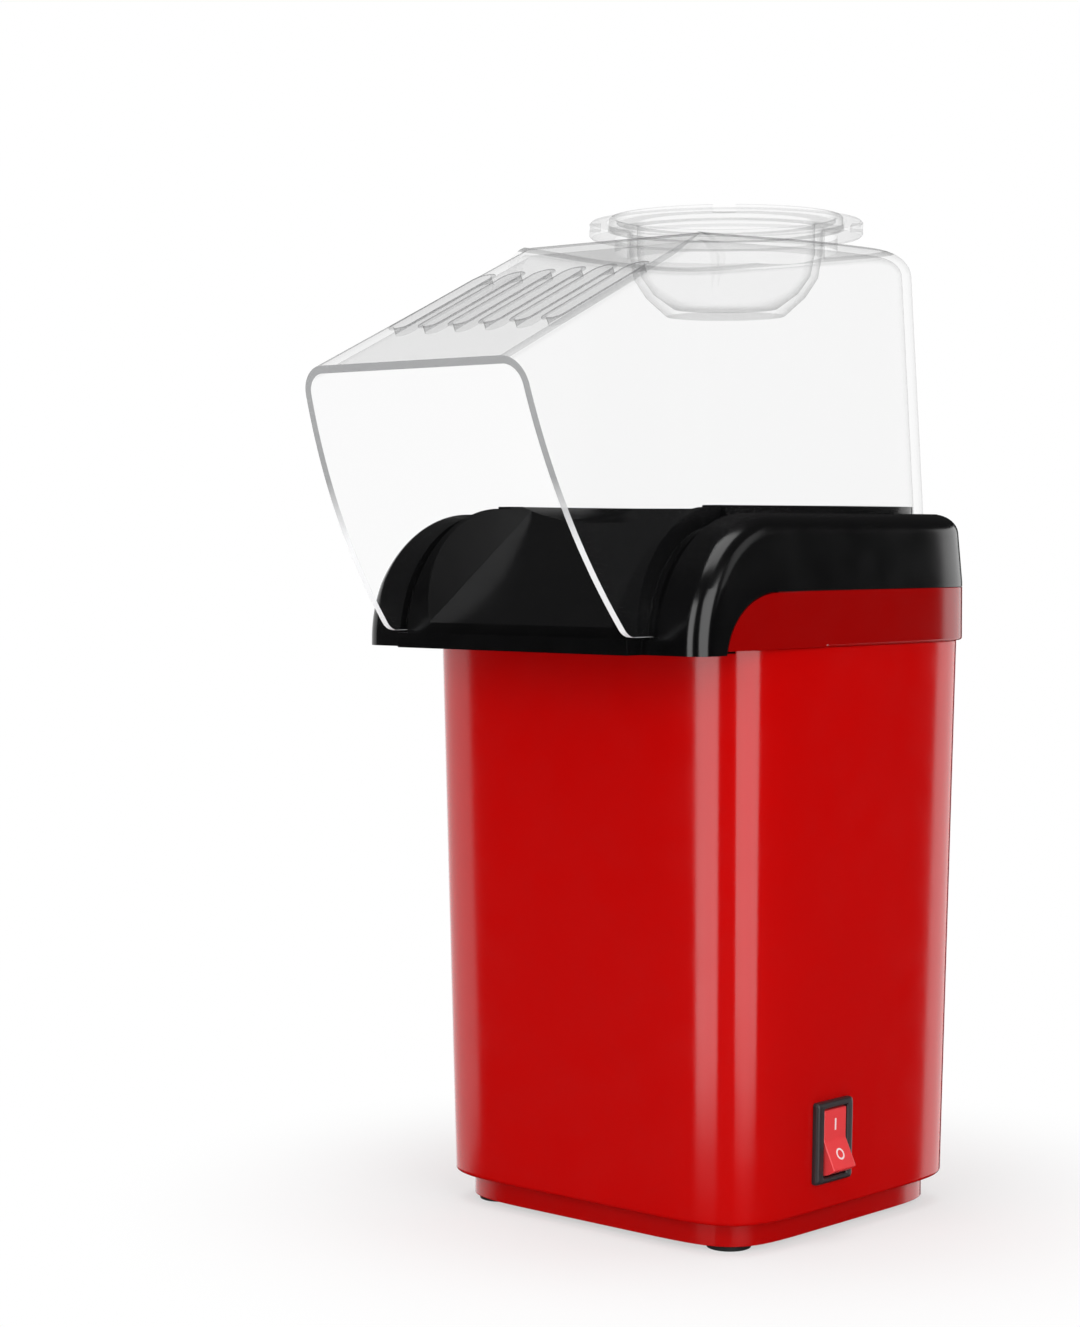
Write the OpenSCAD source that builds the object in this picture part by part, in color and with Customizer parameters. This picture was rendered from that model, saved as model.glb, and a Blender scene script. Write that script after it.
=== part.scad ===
// Hot-air popcorn maker: red body, black upper shell with an arched chute, clear hood and measuring cup.
// Millimetres. +Z is up, the chute faces -Y, and the switch is on the +X side.
// The origin is on the counter, under the middle of the whole machine's box.

/* [Body] */
// Half width of the body at its bottom edge
body_half_w = 53.4; // [50:0.2:58]
// Half depth of the body at its bottom edge
body_half_d = 49.3; // [47:0.2:54]
// Widening of each side from the bottom edge to the top edge
body_draft = 2.8; // [0:0.2:4]
// Squareness of the plan outline (4 is round, 10 is nearly square)
body_square = 6.5; // [5:0.1:9]
// Height of the body shell
body_h = 143.8; // [143:0.2:160]
// Wall of the red and black mouldings
wall = 2.2; // [1.8:0.1:2.6]

/* [Base] */
// Height that the rubber feet stand below the base
foot_drop = 1.5; // [1:0.1:3]
// Radius of a rubber foot
foot_r = 5.7; // [5:0.1:6.5]
// Height of the visible plinth
plinth_h = 6.2; // [5:0.1:9]
// Inset of the plinth from the body's bottom edge
plinth_inset = 4; // [3:0.2:5]
// Width of an air inlet slot in the base
inlet_w = 2.6; // [2:0.2:3.4]

/* [Upper shell] */
// Height of the red side band
band_h = 14.2; // [10:0.2:18]
// Outset of the band and the upper shell from the top of the body
band_out = 1.2; // [0.8:0.1:2]
// Radius of the fender arches beside the chute
arch_r = 33; // [30:0.5:34]
// Distance of the arch centre in front of the chamber axis
arch_y = 36.5; // [35:0.5:40]
// Radius of the upper shell's top edge
edge_r = 5; // [4:0.2:6]
// Inward lean of the upper shell's sides, per millimetre of height
shell_lean = 0.07; // [0:0.01:0.12]
// Thickness of the front lip below the chute
lip_h = 3.8; // [3:0.1:5]
// Reach of the front lip in front of the chamber axis
lip_y = 75; // [73:0.5:78]
// Half width of the chute floor
chute_half_w = 31; // [28:0.5:32]
// Height of the upstand round the mouth above the top of the shell
upstand_h = 2; // [1:0.2:3]

/* [Hood] */
// Wall of the clear hood and cup
clear_wall = 2; // [1.6:0.1:2.4]
// Height of the hood's flat top above the top of the upper shell
hood_h = 70.5; // [60:0.5:80]
// Reach of the mouth's top edge in front of the chamber axis
mouth_y = 110; // [105:1:118]
// Height of the mouth's top edge above the top of the upper shell
mouth_h = 36.2; // [32:0.2:40]
// Distance of the roof's bend in front of the chamber axis
bend_y = 34.9; // [30:0.5:38]
// Half width of the hood at its foot, beside the chamber
hood_half_w = 46.6; // [45:0.2:47.5]
// Half depth of the hood behind the chamber axis, at its foot
hood_half_d = 48; // [46:0.2:48.4]
// Half width of the hood at the bottom of its mouth
mouth_half_w = 41.4; // [40:0.2:42]
// Radius of the hood's long top edges
hood_edge_r = 7; // [5:0.5:8]
// Number of steam slots in the sloping roof
slot_n = 6; // [3:1:6]
// Spacing of the steam slots
slot_pitch = 10.4; // [8.5:0.2:10.6]
// Width of a steam slot
slot_w = 5; // [3:0.2:5.6]
// Length of a steam slot
slot_l = 36.8; // [25:0.5:40]

/* [Measuring cup] */
// Distance of the cup's axis behind the chamber axis
cup_y = 11; // [8:0.5:12]
// Outer radius of the hood's seat ring for the cup
seat_ring_r = 36.8; // [35:0.2:38]
// Radius of the cup's rim
cup_rim_r = 31.5; // [30.5:0.1:32]
// Outer radius of the cup's bowl at the top
bowl_r = 26; // [24:0.2:27]
// Depth of the cup below the hood's flat top
bowl_depth = 17; // [12:0.5:20]

/* [Popping chamber] */
// Air gap between the popping chamber's wall and the heater can
air_gap = 4.2; // [3.8:0.1:6]
// Wall of the popping chamber
chamber_wall = 1; // [0.8:0.1:1.2]
// Number of swirl vents low in the chamber wall
vent_n = 18; // [12:1:20]
// Slant of the swirl vents from upright, in degrees
vent_slant = 30; // [20:1:35]

/* [Heater and fan] */
// Distance from the heater can to the body's front and rear faces at their bottom edge
can_room = 6.3; // [5.8:0.1:8]
// Sheet thickness of the heater can
can_wall = 0.8; // [0.6:0.1:1]
// Height of the mica boards
mica_h = 20; // [16:1:21]
// Turns of the heating wire
wire_turns = 6; // [3:1:6]
// Gap between the fan's blade tips and its housing
fan_gap = 1.5; // [1:0.1:3]
// Number of fan blades
fan_blades = 7; // [5:1:9]
// Radius of the motor can
motor_r = 13.85; // [12:0.05:15]
// Length of the motor can
motor_l = 38; // [32:1:42]
// Clearance between the rectifier's diodes and the base floor
works_room = 1.55; // [1:0.05:4]
// Radius of the motor shaft
shaft_r = 1.15; // [1:0.05:1.5]

/* [Switch] */
// Height of the switch above the counter
switch_z = 25.5; // [24:0.5:60]
// Distance of the switch in front of the chamber axis
switch_y = 12.5; // [0:0.5:20]
// Width of the switch bezel
bezel_w = 15; // [14.6:0.2:17]
// Height of the switch bezel
bezel_h = 21; // [21:0.2:24]
// Half of the angle that the rocker turns between on and off
rocker_half_turn = 13; // [8:1:14]

/* [Hidden] */

$fn = 64;
gap = 0.3;              // running clearance between separate pieces
bore_gap = 0.05;        // clearance of a pin in its bore
eps = 0.05;             // overshoot of a cut past a face
far = 200;              // more than any piece's reach
form_over = 10;         // overshoot of a drafted form past a face

// Heights, from the counter up
base_z = foot_drop;
body_z = base_z + plinth_h;
band_z = body_z + body_h;
band_top = band_z + band_h;
arch_z = band_z + 0.5;
shell_top = arch_z + arch_r;
hood_top = shell_top + hood_h;
mouth_z = shell_top + mouth_h;

// Plan sizes
body_top_w = body_half_w + body_draft;
body_top_d = body_half_d + body_draft;
band_w = body_top_w + band_out;
band_d = body_top_d + band_out;
axis_y = (mouth_y - band_d) / 2;

// The heater, the fan and the motor stand above the base floor, and the chamber takes the room that is left
floor_t = 2.4;
diode_r = 1.4;
board_t = 1.6;
cap_h = 4;
cap_boss_h = 2;
fan_room = 30;
spigot_h = 4;
mica_gap = 2;
diode_z = base_z + floor_t + works_room + diode_r;
board_z = diode_z + diode_r + 0.15;
motor_z = board_z + board_t + cap_boss_h + cap_h;
housing_z = motor_z + motor_l;
shoulder_z = housing_z + fan_room;
mica_z = shoulder_z + spigot_h;
mica_top = mica_z + mica_h;
chamber_z = mica_top + mica_gap + chamber_wall;
can_r = body_half_d - can_room;
can_in = can_r - can_wall;
chamber_out = can_in - air_gap;
chamber_r = chamber_out - chamber_wall;

// Outline resolution
ring_n = 72;
rear_n = 32;
corner_n = 7;

// ---------------------------------------------------------------- helpers

// Moves a piece drawn about the chamber axis into the machine's frame
module placed() translate([0, axis_y, 0]) children();

// Superellipse outline with half sizes w and d and squareness p
function squircle(w, d, p, n = ring_n) = [
    for (i = [0 : n - 1])
        let (a = 360 * i / n, c = cos(a), s = sin(a))
        [w * sign(c) * pow(abs(c), 2 / p), d * sign(s) * pow(abs(s), 2 / p)]
];

function at_z(outline, z) = [for (p = outline) [p.x, p.y, z]];

// Closed solid through horizontal rings with equal numbers of points
module loft(rings) {
    n = len(rings[0]);
    m = len(rings);
    sides = [
        for (j = [0 : m - 2], i = [0 : n - 1])
            let (k = (i + 1) % n)
            each [
                [j * n + i, (j + 1) * n + i, (j + 1) * n + k],
                [j * n + i, (j + 1) * n + k, j * n + k]
            ]
    ];
    bottom = [for (i = [0 : n - 1]) i];
    top = [for (i = [n - 1 : -1 : 0]) (m - 1) * n + i];
    polyhedron(points = [for (r = rings) each r], faces = concat([bottom, top], sides), convexity = 6);
}

// Drafted superellipse block between two heights, inset from the body's faces
module body_block(z0, z1, inset) {
    function grow(z) = body_draft * (z - body_z) / body_h - inset;
    loft([
        for (z = [z0, z1])
            at_z(squircle(body_half_w + grow(z), body_half_d + grow(z), body_square), z)
    ]);
}

// Upright superellipse block
module square_block(w, d, z0, z1, p = body_square)
    translate([0, 0, z0]) linear_extrude(z1 - z0) polygon(squircle(w, d, p));

module tube(r_out, r_in, z0, z1)
    translate([0, 0, z0]) difference() {
        cylinder(h = z1 - z0, r = r_out);
        translate([0, 0, -eps]) cylinder(h = z1 - z0 + 2 * eps, r = r_in);
    }

// A moulding with draft on all its faces, kept as one closed skin at its own size
module moulding() resize([0, 0, 0]) children();

module disc(r, z0, z1) translate([0, 0, z0]) cylinder(h = z1 - z0, r = r);

// Copies a piece to the four corners at (x, y)
module corners(x, y)
    for (sx = [-1, 1], sy = [-1, 1]) translate([sx * x, sy * y, 0]) children();

// Copies a piece n times round the axis
module around(n, start = 0)
    for (i = [0 : n - 1]) rotate([0, 0, start + 360 * i / n]) children();

// Solid swept along X from a side profile of (y, z) points
module side_prism(half_w, profile)
    rotate([90, 0, 90]) translate([0, 0, -half_w]) linear_extrude(2 * half_w) polygon(profile);

function arc(cy, cz, r, a0, a1, n = 8) =
    [for (i = [0 : n]) let (a = a0 + (a1 - a0) * i / n) [cy + r * cos(a), cz + r * sin(a)]];

// Pan-head screw: its head's underside is at z = 0 and its thread points up
module screw(r, l, head_r, head_h) {
    cylinder(h = l, r = r);
    difference() {
        translate([0, 0, -head_h]) cylinder(h = head_h, r1 = head_r * 0.8, r2 = head_r);
        for (a = [0, 90]) rotate([0, 0, a])
            translate([-head_r * 0.55, -0.35, -head_h - eps]) cube([head_r * 1.1, 0.7, head_h * 0.6]);
    }
}

// ---------------------------------------------------------------- base and body

foot_inset_w = 13.9;
foot_inset_d = 13.5;
foot_x = body_half_w - foot_inset_w;
foot_y = body_half_d - foot_inset_d;
foot_sink = 1.5;
flange_t = 2.5;
post_r = 4.8;
post_h = 30;
thread_r = 1.5;
pilot_r = thread_r;
screw_hole_r = thread_r + 0.25;
flange_z = body_z + flange_t;
foot_head_z = 1.9;
foot_recess_r = 3.1;
foot_screw_l = 16;
foot_screw_head_r = 2.7;
foot_screw_head_h = 1.6;

module base_plate() color("firebrick") placed() difference() {
    union() {
        square_block(body_half_w - plinth_inset, body_half_d - plinth_inset, base_z, body_z);
        square_block(body_half_w - wall - gap, body_half_d - wall - gap, body_z, flange_z);
    }
    difference() {
        square_block(body_half_w - plinth_inset - wall, body_half_d - plinth_inset - wall,
            base_z + floor_t, flange_z + eps);
        corners(foot_x, foot_y) disc(post_r + 1.2, base_z, flange_z);
    }
    corners(foot_x, foot_y) {
        disc(foot_r + gap / 2, base_z - eps, base_z + foot_sink);
        disc(screw_hole_r, base_z, flange_z + eps);
    }
    inlet_slots();
}

// Rows of air inlet slots under the motor
inlet_rows = 9;
inlet_pitch = 6.4;
inlet_field_r = 31;
module inlet_slots()
    for (i = [0 : inlet_rows - 1]) {
        y = (i - (inlet_rows - 1) / 2) * inlet_pitch;
        half = sqrt(inlet_field_r * inlet_field_r - y * y);
        translate([-half, y - inlet_w / 2, base_z - eps]) cube([2 * half, inlet_w, floor_t + 2 * eps]);
    }

module rubber_feet() color("dimgray") placed() corners(foot_x, foot_y) difference() {
    disc(foot_r, 0, base_z + foot_sink);
    disc(screw_hole_r, -eps, base_z + foot_sink + eps);
    disc(foot_recess_r, -eps, foot_head_z);
}

module base_screws() color("silver") placed() corners(foot_x, foot_y)
    translate([0, 0, foot_head_z]) screw(thread_r, foot_screw_l, foot_screw_head_r, foot_screw_head_h);

// Screw post with a rib into the corner of the body
module corner_post(z0, z1) {
    corners(foot_x, foot_y) disc(post_r, z0, z1);
    for (sx = [-1, 1], sy = [-1, 1]) translate([sx * foot_x, sy * foot_y, z0])
        rotate([0, 0, atan2(sy * body_half_d, sx * body_half_w)])
            translate([0, -1, 0]) cube([far, 2, z1 - z0]);
}

bush_z = 21;
bush_r = 6;
bush_bore = 3.4;
cut_y_side = bezel_w - 2;
cut_z_side = bezel_h - 1.8;

module body_shell() color("red") placed() moulding() difference() {
    union() {
        difference() {
            body_block(body_z, band_z, 0);
            body_block(body_z - form_over, band_z + form_over, wall);
        }
        intersection() {
            body_block(flange_z - form_over, body_z + post_h + form_over, wall / 2);
            corner_post(flange_z, body_z + post_h);
        }
    }
    corners(foot_x, foot_y) disc(pilot_r, flange_z - eps, foot_head_z + foot_screw_l + 2);
    switch_frame() translate([-far / 8, -cut_y_side / 2, -cut_z_side / 2])
        cube([far / 8 + 2, cut_y_side, cut_z_side]);
    translate([0, body_half_d - 2 * wall, bush_z]) rotate([-90, 0, 0]) cylinder(h = far / 8, r = bush_r);
}

// ---------------------------------------------------------------- side band

band_front = 46;
band_wall = wall + band_out;

module side_band() color("crimson") placed() difference() {
    square_block(band_w, band_d, band_z, band_top);
    square_block(band_w - band_wall, band_d - band_wall, band_z - eps, band_top + eps);
    translate([-far / 2, -far - band_front, band_z - eps]) cube([far, far, band_h + 2 * eps]);
}

// ---------------------------------------------------------------- upper shell

skin = 2.5;
shell_floor_z = band_z - 1;
floor_top_z = shell_floor_z + skin;
skirt_cut_y = 39.5;
skirt_cut_half = 20;
skirt_cut_z = shell_floor_z - 1.5;
deck_z = shell_top - 7;
channel_z = shell_top - 3;
cheek_r = 32.5;
cheek_y = 39;
cheek_z = shell_top + upstand_h - 0.5 - cheek_r;
groove_in = mouth_half_w - clear_wall - gap;
groove_out = 44;
groove_r = 29.8;
groove_y = 37.5;
groove_z = channel_z - groove_r;
ramp_z = shell_floor_z + lip_h;
ramp_top_y = chamber_r;
ramp_top_z = shell_top - 2.4;
ramp_tan = (ramp_top_z - ramp_z) / (lip_y - ramp_top_y);
ramp_t = 3.2;
chute_flare = 0.33;
chute_back_y = 20;
chute_over = 12;
dish_slope = 2.2;
upstand_t = 2.4;
boss_inset_w = 10.8;
boss_inset_d = 13.3;
boss_x = body_half_w - boss_inset_w;
boss_y = body_half_d - boss_inset_d;
boss_edge = 9;
chamber_screw_l = 7.5;
chamber_screw_head_r = 2.9;
chamber_screw_head_h = 1.8;
boss_r = 3.8;
under_y = chamber_r + 4;
lean_z = band_top + 1.2;

function ramp_at(y) = ramp_z + (y + lip_y) * ramp_tan;

// One horizontal ring of the upper shell; t insets every face
function shell_ring(z, t) =
    let (
        r = edge_r - t / 2,
        big = arch_r - t,
        h = max(0, z - arch_z),
        s0 = max(0, min(0.985, (h - (big - r)) / r)),
        f0 = asin(s0),
        lean = max(0, z - lean_z) * shell_lean + t,
        w = band_w - lean,
        d = band_d - lean,
        e = r * (1 - cos(f0))
    )
    at_z(concat(
        [
            for (i = [0 : rear_n])
                let (a = 180 * i / rear_n, c = cos(a), s = sin(a))
                [(w - e) * sign(c) * pow(abs(c), 2 / body_square), (d - e) * pow(s, 2 / body_square)]
        ],
        [
            for (i = [0 : corner_n])
                let (f = f0 + (90 - f0) * i / corner_n, q = big - r + r * sin(f))
                [-(w - r + r * cos(f)), -arch_y - sqrt(max(0, q * q - h * h))]
        ],
        [
            for (i = [corner_n : -1 : 0])
                let (f = f0 + (90 - f0) * i / corner_n, q = big - r + r * sin(f))
                [w - r + r * cos(f), -arch_y - sqrt(max(0, q * q - h * h))]
        ]
    ), z);

module shell_form(z0, t) {
    levels = [for (a = [82.5 : -7.5 : 0]) arch_z + (arch_r - t) * cos(a)];
    low = [for (v = levels) if (v > z0 + 0.5 && v < lean_z - 0.5) v];
    high = [for (v = levels) if (v > lean_z + 0.5) v];
    loft([for (z = concat([z0], low, [lean_z], high)) shell_ring(z, t)]);
}

// Plan outline of the hood's foot, grown by g
function foot_outline(g) = [for (p = hood_ring(shell_top, -g)) [p.x, p.y]];

module foot_block(g, z0, z1) translate([0, 0, z0]) linear_extrude(z1 - z0) polygon(foot_outline(g));

// Everything in front of the chamber axis by more than y
module ahead(y) translate([-far / 2, -far - y, 0]) cube([far, far, 2 * far]);

// Everything behind the line at -y
module behind(y) translate([-far / 2, -y, 0]) cube([far, far, 2 * far]);

// Space above the chute floor, between its leaning side walls
module chute_space() {
    y0 = -lip_y - 2;
    y1 = -chute_back_y;
    high = shell_top + chute_over;
    function side_at(y) = chute_half_w + (high - ramp_at(y)) * chute_flare;
    function end_at(y) = [
        [-chute_half_w, y, ramp_at(y)], [chute_half_w, y, ramp_at(y)],
        [side_at(y), y, high], [-side_at(y), y, high]
    ];
    polyhedron(points = concat(end_at(y0), end_at(y1)), faces = [
        [3, 2, 1, 0], [4, 5, 6, 7], [0, 1, 5, 4], [1, 2, 6, 5], [2, 3, 7, 6], [3, 0, 4, 7]
    ]);
}

// Side profile of everything above the hood groove's floor
function groove_profile() = concat(
    [[-lip_y - 10, ramp_z], [-lip_y - 10, shell_top + 20], [-groove_y, shell_top + 20]],
    arc(-groove_y, groove_z, groove_r, 90, 176, 12)
);

// Side profile of the cheeks and the floor between them
function cheek_profile() = concat(
    [[-cheek_y - cheek_r, shell_floor_z], [-chute_back_y, shell_floor_z], [-chute_back_y, cheek_z + cheek_r]],
    arc(-cheek_y, cheek_z, cheek_r, 90, 180, 12)
);

// Inside of the upper shell: over the body, under the chute floor and in each fender
module shell_hollow() intersection() {
    union() {
        shell_form(floor_top_z, skin);
        square_block(body_top_w - skin, body_top_d - skin, shell_floor_z - 1, floor_top_z + eps);
    }
    union() {
        side_prism(far / 2, [
            [far, shell_floor_z - 2], [far, deck_z], [-under_y, deck_z], [-under_y, shell_floor_z - 2]
        ]);
        side_prism(groove_in - skin, [
            [-lip_y + 9, floor_top_z], [-under_y + eps, floor_top_z],
            [-under_y + eps, ramp_at(-under_y) - ramp_t], [-lip_y + 9, ramp_at(-lip_y + 9) - ramp_t]
        ]);
        for (s = [-1, 1]) translate([s * (band_w + groove_out + skin) / 2, 0, 0])
            side_prism((band_w - groove_out - skin) / 2, [
                [-lip_y, floor_top_z], [-under_y + eps, floor_top_z], [-under_y + eps, deck_z], [-lip_y, deck_z]
            ]);
    }
}

// Groove that the hood's side and rear walls drop into
module hood_channel() {
    difference() {
        foot_block(gap + 0.2, channel_z, far);
        foot_block(-clear_wall - gap, channel_z - eps, far + eps);
        ahead(groove_y);
    }
    difference() {
        side_prism(groove_out, groove_profile());
        hood_form(clear_wall + gap);
    }
}

module upper_shell() color("#181818") placed() moulding() difference() {
    union() {
        difference() {
            union() {
                shell_form(shell_floor_z, 0);
                side_prism(groove_in, cheek_profile());
                intersection() {
                    foot_block(-clear_wall - gap, deck_z, shell_top + upstand_h);
                    behind(cheek_y);
                }
                translate([-groove_in, -lip_y, shell_floor_z]) cube([2 * groove_in, lip_y - arch_y, lip_h]);
            }
            shell_hollow();
        }
        corners(boss_x, boss_y) disc(boss_r, support_top, deck_z + 1);
    }
    // seats over the body's top edge and on the band
    square_block(body_top_w + gap, body_top_d + gap, shell_floor_z - eps, band_z);
    side_prism(far / 2, [
        [far, band_top], [-skirt_cut_y, band_top], [-skirt_cut_y, shell_floor_z - 5], [far, shell_floor_z - 5]
    ]);
    intersection() {
        square_block(band_w + gap, band_d + gap, band_z - 1, band_top + eps);
        behind(band_front + gap);
    }
    // mouth with its shallow dish, chute and hood channel
    disc(chamber_r, deck_z - eps, far * 2);
    intersection() {
        translate([0, 0, ramp_top_z]) cylinder(
            h = upstand_h + 3, r1 = chamber_r + 0.8, r2 = chamber_r + 0.8 + dish_slope * (upstand_h + 3));
        foot_block(-clear_wall - gap - upstand_t, ramp_top_z - eps, far);
    }
    chute_space();
    hood_channel();
    // arch in each skirt, where the red corner shows
    for (s = [-1, 1]) translate([s * band_w, 0, 0]) side_prism(7, concat(
        [[-10, band_z], [-10, shell_floor_z - 4], [-skirt_cut_y - skirt_cut_half, shell_floor_z - 4]],
        [
            for (a = [180 : -8 : 92])
                [-skirt_cut_y + skirt_cut_half * cos(a), skirt_cut_z + (band_top - skirt_cut_z) * sin(a)]
        ]
    ));
    corners(boss_x, boss_y) disc(pilot_r, support_top - 1, support_z - can_wall + chamber_screw_l + 1);
}

// ---------------------------------------------------------------- hood

front_lean = 0.06;
rear_lean = 0.045;
rear_y0 = 10;
front_y1 = 40;
roof_tan = (hood_top - mouth_z) / (mouth_y - bend_y);
roof_a = atan(roof_tan);
hood_seat = channel_z;
mouth_low_z = ramp_z + gap + gap;
roof_low = mouth_z - 9;
hood_square = 6;

function ease(q) = let (c = max(0, min(1, q))) c * c * (3 - 2 * c);

// One horizontal ring of the hood's block; t insets every face
function hood_ring(z, t) =
    let (
        r = hood_edge_r - max(0, t),
        top = hood_top - t,
        s0 = max(0, min(0.985, (z - (top - r)) / r)),
        f0 = asin(s0),
        e = r * (1 - cos(f0)) + t,
        wf = mouth_half_w - front_lean * (z - mouth_low_z),
        wr = hood_half_w - rear_lean * (z - shell_top),
        dr = hood_half_d - rear_lean * (z - shell_top) - e - rear_y0,
        zr = max(z, roof_low),
        roof_y = -bend_y - (hood_top - zr) / roof_tan + t / sin(roof_a)
    )
    at_z(concat(
        [
            for (i = [0 : rear_n])
                let (a = 180 * i / rear_n, c = cos(a), s = sin(a))
                [(wr - e) * sign(c) * pow(abs(c), 2 / hood_square), rear_y0 + dr * pow(s, 2 / hood_square)]
        ],
        [
            for (i = [1 : 5])
                let (u = i / 6, y = rear_y0 - (rear_y0 + front_y1) * u)
                [-(wr + (wf - wr) * ease(u) - e), y]
        ],
        [
            for (i = [0 : corner_n])
                let (f = f0 + (90 - f0) * i / corner_n)
                [-(wf - t - r + r * cos(f)), roof_y + r * (1 - sin(f)) / sin(roof_a)]
        ],
        [
            for (i = [corner_n : -1 : 0])
                let (f = f0 + (90 - f0) * i / corner_n)
                [wf - t - r + r * cos(f), roof_y + r * (1 - sin(f)) / sin(roof_a)]
        ],
        [
            for (i = [5 : -1 : 1])
                let (u = i / 6, y = rear_y0 - (rear_y0 + front_y1) * u)
                [wr + (wf - wr) * ease(u) - e, y]
        ]
    ), z);

module hood_form(t) {
    r = hood_edge_r - t;
    top = hood_top - t;
    levels = concat([mouth_low_z - 5, roof_low], [for (a = [0 : 15 : 75]) top - r + r * sin(a)], [top]);
    loft([for (z = levels) hood_ring(z, t)]);
}

// Side profile that trims the hood to its mouth and its foot
rim_r = 170;
rim_top_a = 14;
mouth_fillet = 5;
function hood_profile() =
    let (
        cy = -mouth_y + rim_r * cos(rim_top_a),
        cz = mouth_z + rim_r * sin(rim_top_a),
        fz = mouth_low_z + mouth_fillet,
        fy = cy - sqrt(pow(rim_r - mouth_fillet, 2) - pow(cz - fz, 2)),
        fa = atan2(cz - fz, cy - fy),
        foot_r = groove_r + gap,
        foot_a = 180 - asin((mouth_low_z - groove_z) / foot_r)
    )
    concat(
        [[far, hood_seat], [far, far * 2], [-far, far * 2]],
        [[cy - rim_r * cos(-4), cz - rim_r * sin(-4)]],
        arc(cy, cz, rim_r, 184, 180 + fa, 10),
        arc(fy, fz, mouth_fillet, 180 + fa + 6, 270, 5),
        arc(-groove_y, groove_z, foot_r, foot_a, 90, 12)
    );

seat_ring_z = hood_top + 4;
seat_ring_top = hood_top + 8.2;
neck_r = 30;
hole_r = bowl_r + 0.6;
lug_w = 7;

module steam_slot() {
    roof_mid = (mouth_y + bend_y) / 2 - 1;
    mid_z = mouth_z + (mouth_y - roof_mid) * roof_tan;
    translate([0, -roof_mid, mid_z]) rotate([roof_a, 0, 0]) {
        half = slot_l / 2 - slot_w / 2;
        translate([0, 0, -2 * clear_wall]) linear_extrude(4 * clear_wall) {
            for (s = [-1, 1]) translate([0, s * half]) circle(r = slot_w / 2);
            square([slot_w, 2 * half], center = true);
        }
    }
}

module hood() color("white", 0.35) placed() moulding() difference() {
    union() {
        intersection() {
            difference() {
                hood_form(0);
                hood_form(clear_wall);
            }
            side_prism(far / 3, hood_profile());
        }
        translate([0, cup_y, 0]) {
            disc(neck_r, hood_top - 1, seat_ring_z + eps);
            disc(seat_ring_r, seat_ring_z, seat_ring_top);
        }
    }
    translate([0, cup_y, 0]) {
        disc(hole_r, hood_top - 2 * clear_wall, cup_rest_z + eps);
        disc(cup_rim_r + gap, cup_rest_z, seat_ring_top + 1);
        for (a = [42, 222]) rotate([0, 0, a])
            translate([seat_ring_r - 3, -lug_w / 2, seat_ring_z + 2]) cube([4, lug_w, 1.6]);
    }
    for (i = [0 : slot_n - 1]) translate([(i - (slot_n - 1) / 2) * slot_pitch, 0, 0]) steam_slot();
}

// ---------------------------------------------------------------- measuring cup

cup_rest_z = seat_ring_z + clear_wall;
cup_top_z = hood_top + 9.6;
bowl_floor_z = hood_top - bowl_depth;
bowl_floor_r = 16;
rim_in = cup_rim_r - 2;

function cup_side(t) = [
    [bowl_floor_r - t, bowl_floor_z + t], [bowl_r - 4.5 - t, bowl_floor_z + 5 + t / 2],
    [bowl_r - 1.2 - t, bowl_floor_z + 10 + t / 3], [bowl_r - t, hood_top]
];

module measuring_cup() color("white", 0.35) placed() translate([0, cup_y, 0]) {
    difference() {
        rotate_extrude() polygon(concat(
            [[0, bowl_floor_z]],
            cup_side(0),
            [[bowl_r, cup_rest_z], [cup_rim_r, cup_rest_z], [cup_rim_r, cup_top_z], [rim_in, cup_top_z]],
            [[rim_in, cup_rest_z + clear_wall], [bowl_r - clear_wall, cup_rest_z + clear_wall]],
            [for (i = [3 : -1 : 0]) cup_side(clear_wall)[i]],
            [[0, bowl_floor_z + clear_wall]]
        ));
        rotate([0, 0, -52]) translate([cup_rim_r - 3, -3, cup_top_z - 2]) cube([6, 6, 4]);
    }
}

// ---------------------------------------------------------------- popping chamber

gasket_t = 1;
plate_t = 3;
flange_r = chamber_r + chamber_wall + 2.4;
flange_top = deck_z - gasket_t;
support_top = flange_top - chamber_wall;
support_z = support_top - plate_t;
vent_h = 9;
vent_w = 1.6;
vent_z = chamber_z + 7;
chamber_foot_r = 8;

module popping_chamber() color("silver") placed() difference() {
    rotate_extrude() difference() {
        union() {
            translate([0, support_top]) square([flange_r, chamber_wall]);
            chamber_half(chamber_out, chamber_z - chamber_wall, chamber_foot_r + chamber_wall, flange_top);
        }
        chamber_half(chamber_r, chamber_z, chamber_foot_r, flange_top + 1);
    }
    around(vent_n) translate([chamber_r - 2, 0, vent_z + vent_h / 2]) rotate([vent_slant, 0, 0])
        translate([0, -vent_w / 2, -vent_h / 2]) cube([6, vent_w, vent_h]);
}

// Half profile of the cup: straight wall, round foot
module chamber_half(r, z, foot, top) {
    translate([0, z + foot]) square([r, top - z - foot]);
    translate([0, z]) square([r - foot, foot + eps]);
    translate([r - foot, z + foot]) circle(r = foot);
}

module chamber_gasket() color("ivory") placed()
    tube(flange_r, chamber_r + 0.4, flange_top, deck_z);

module support_plate() color("saddlebrown") placed() difference() {
    intersection() {
        square_block(boss_x + boss_edge, boss_y + boss_edge, support_z, support_top);
        behind(under_y - gap);
    }
    disc(chamber_out + gap, support_z - eps, support_top + eps);
    corners(boss_x, boss_y) disc(screw_hole_r, support_z - eps, support_top + eps);
}

module chamber_screws() color("silver") placed() corners(boss_x, boss_y)
    translate([0, 0, support_z - can_wall])
        screw(thread_r, chamber_screw_l, chamber_screw_head_r, chamber_screw_head_h);

// ---------------------------------------------------------------- heater

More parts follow.
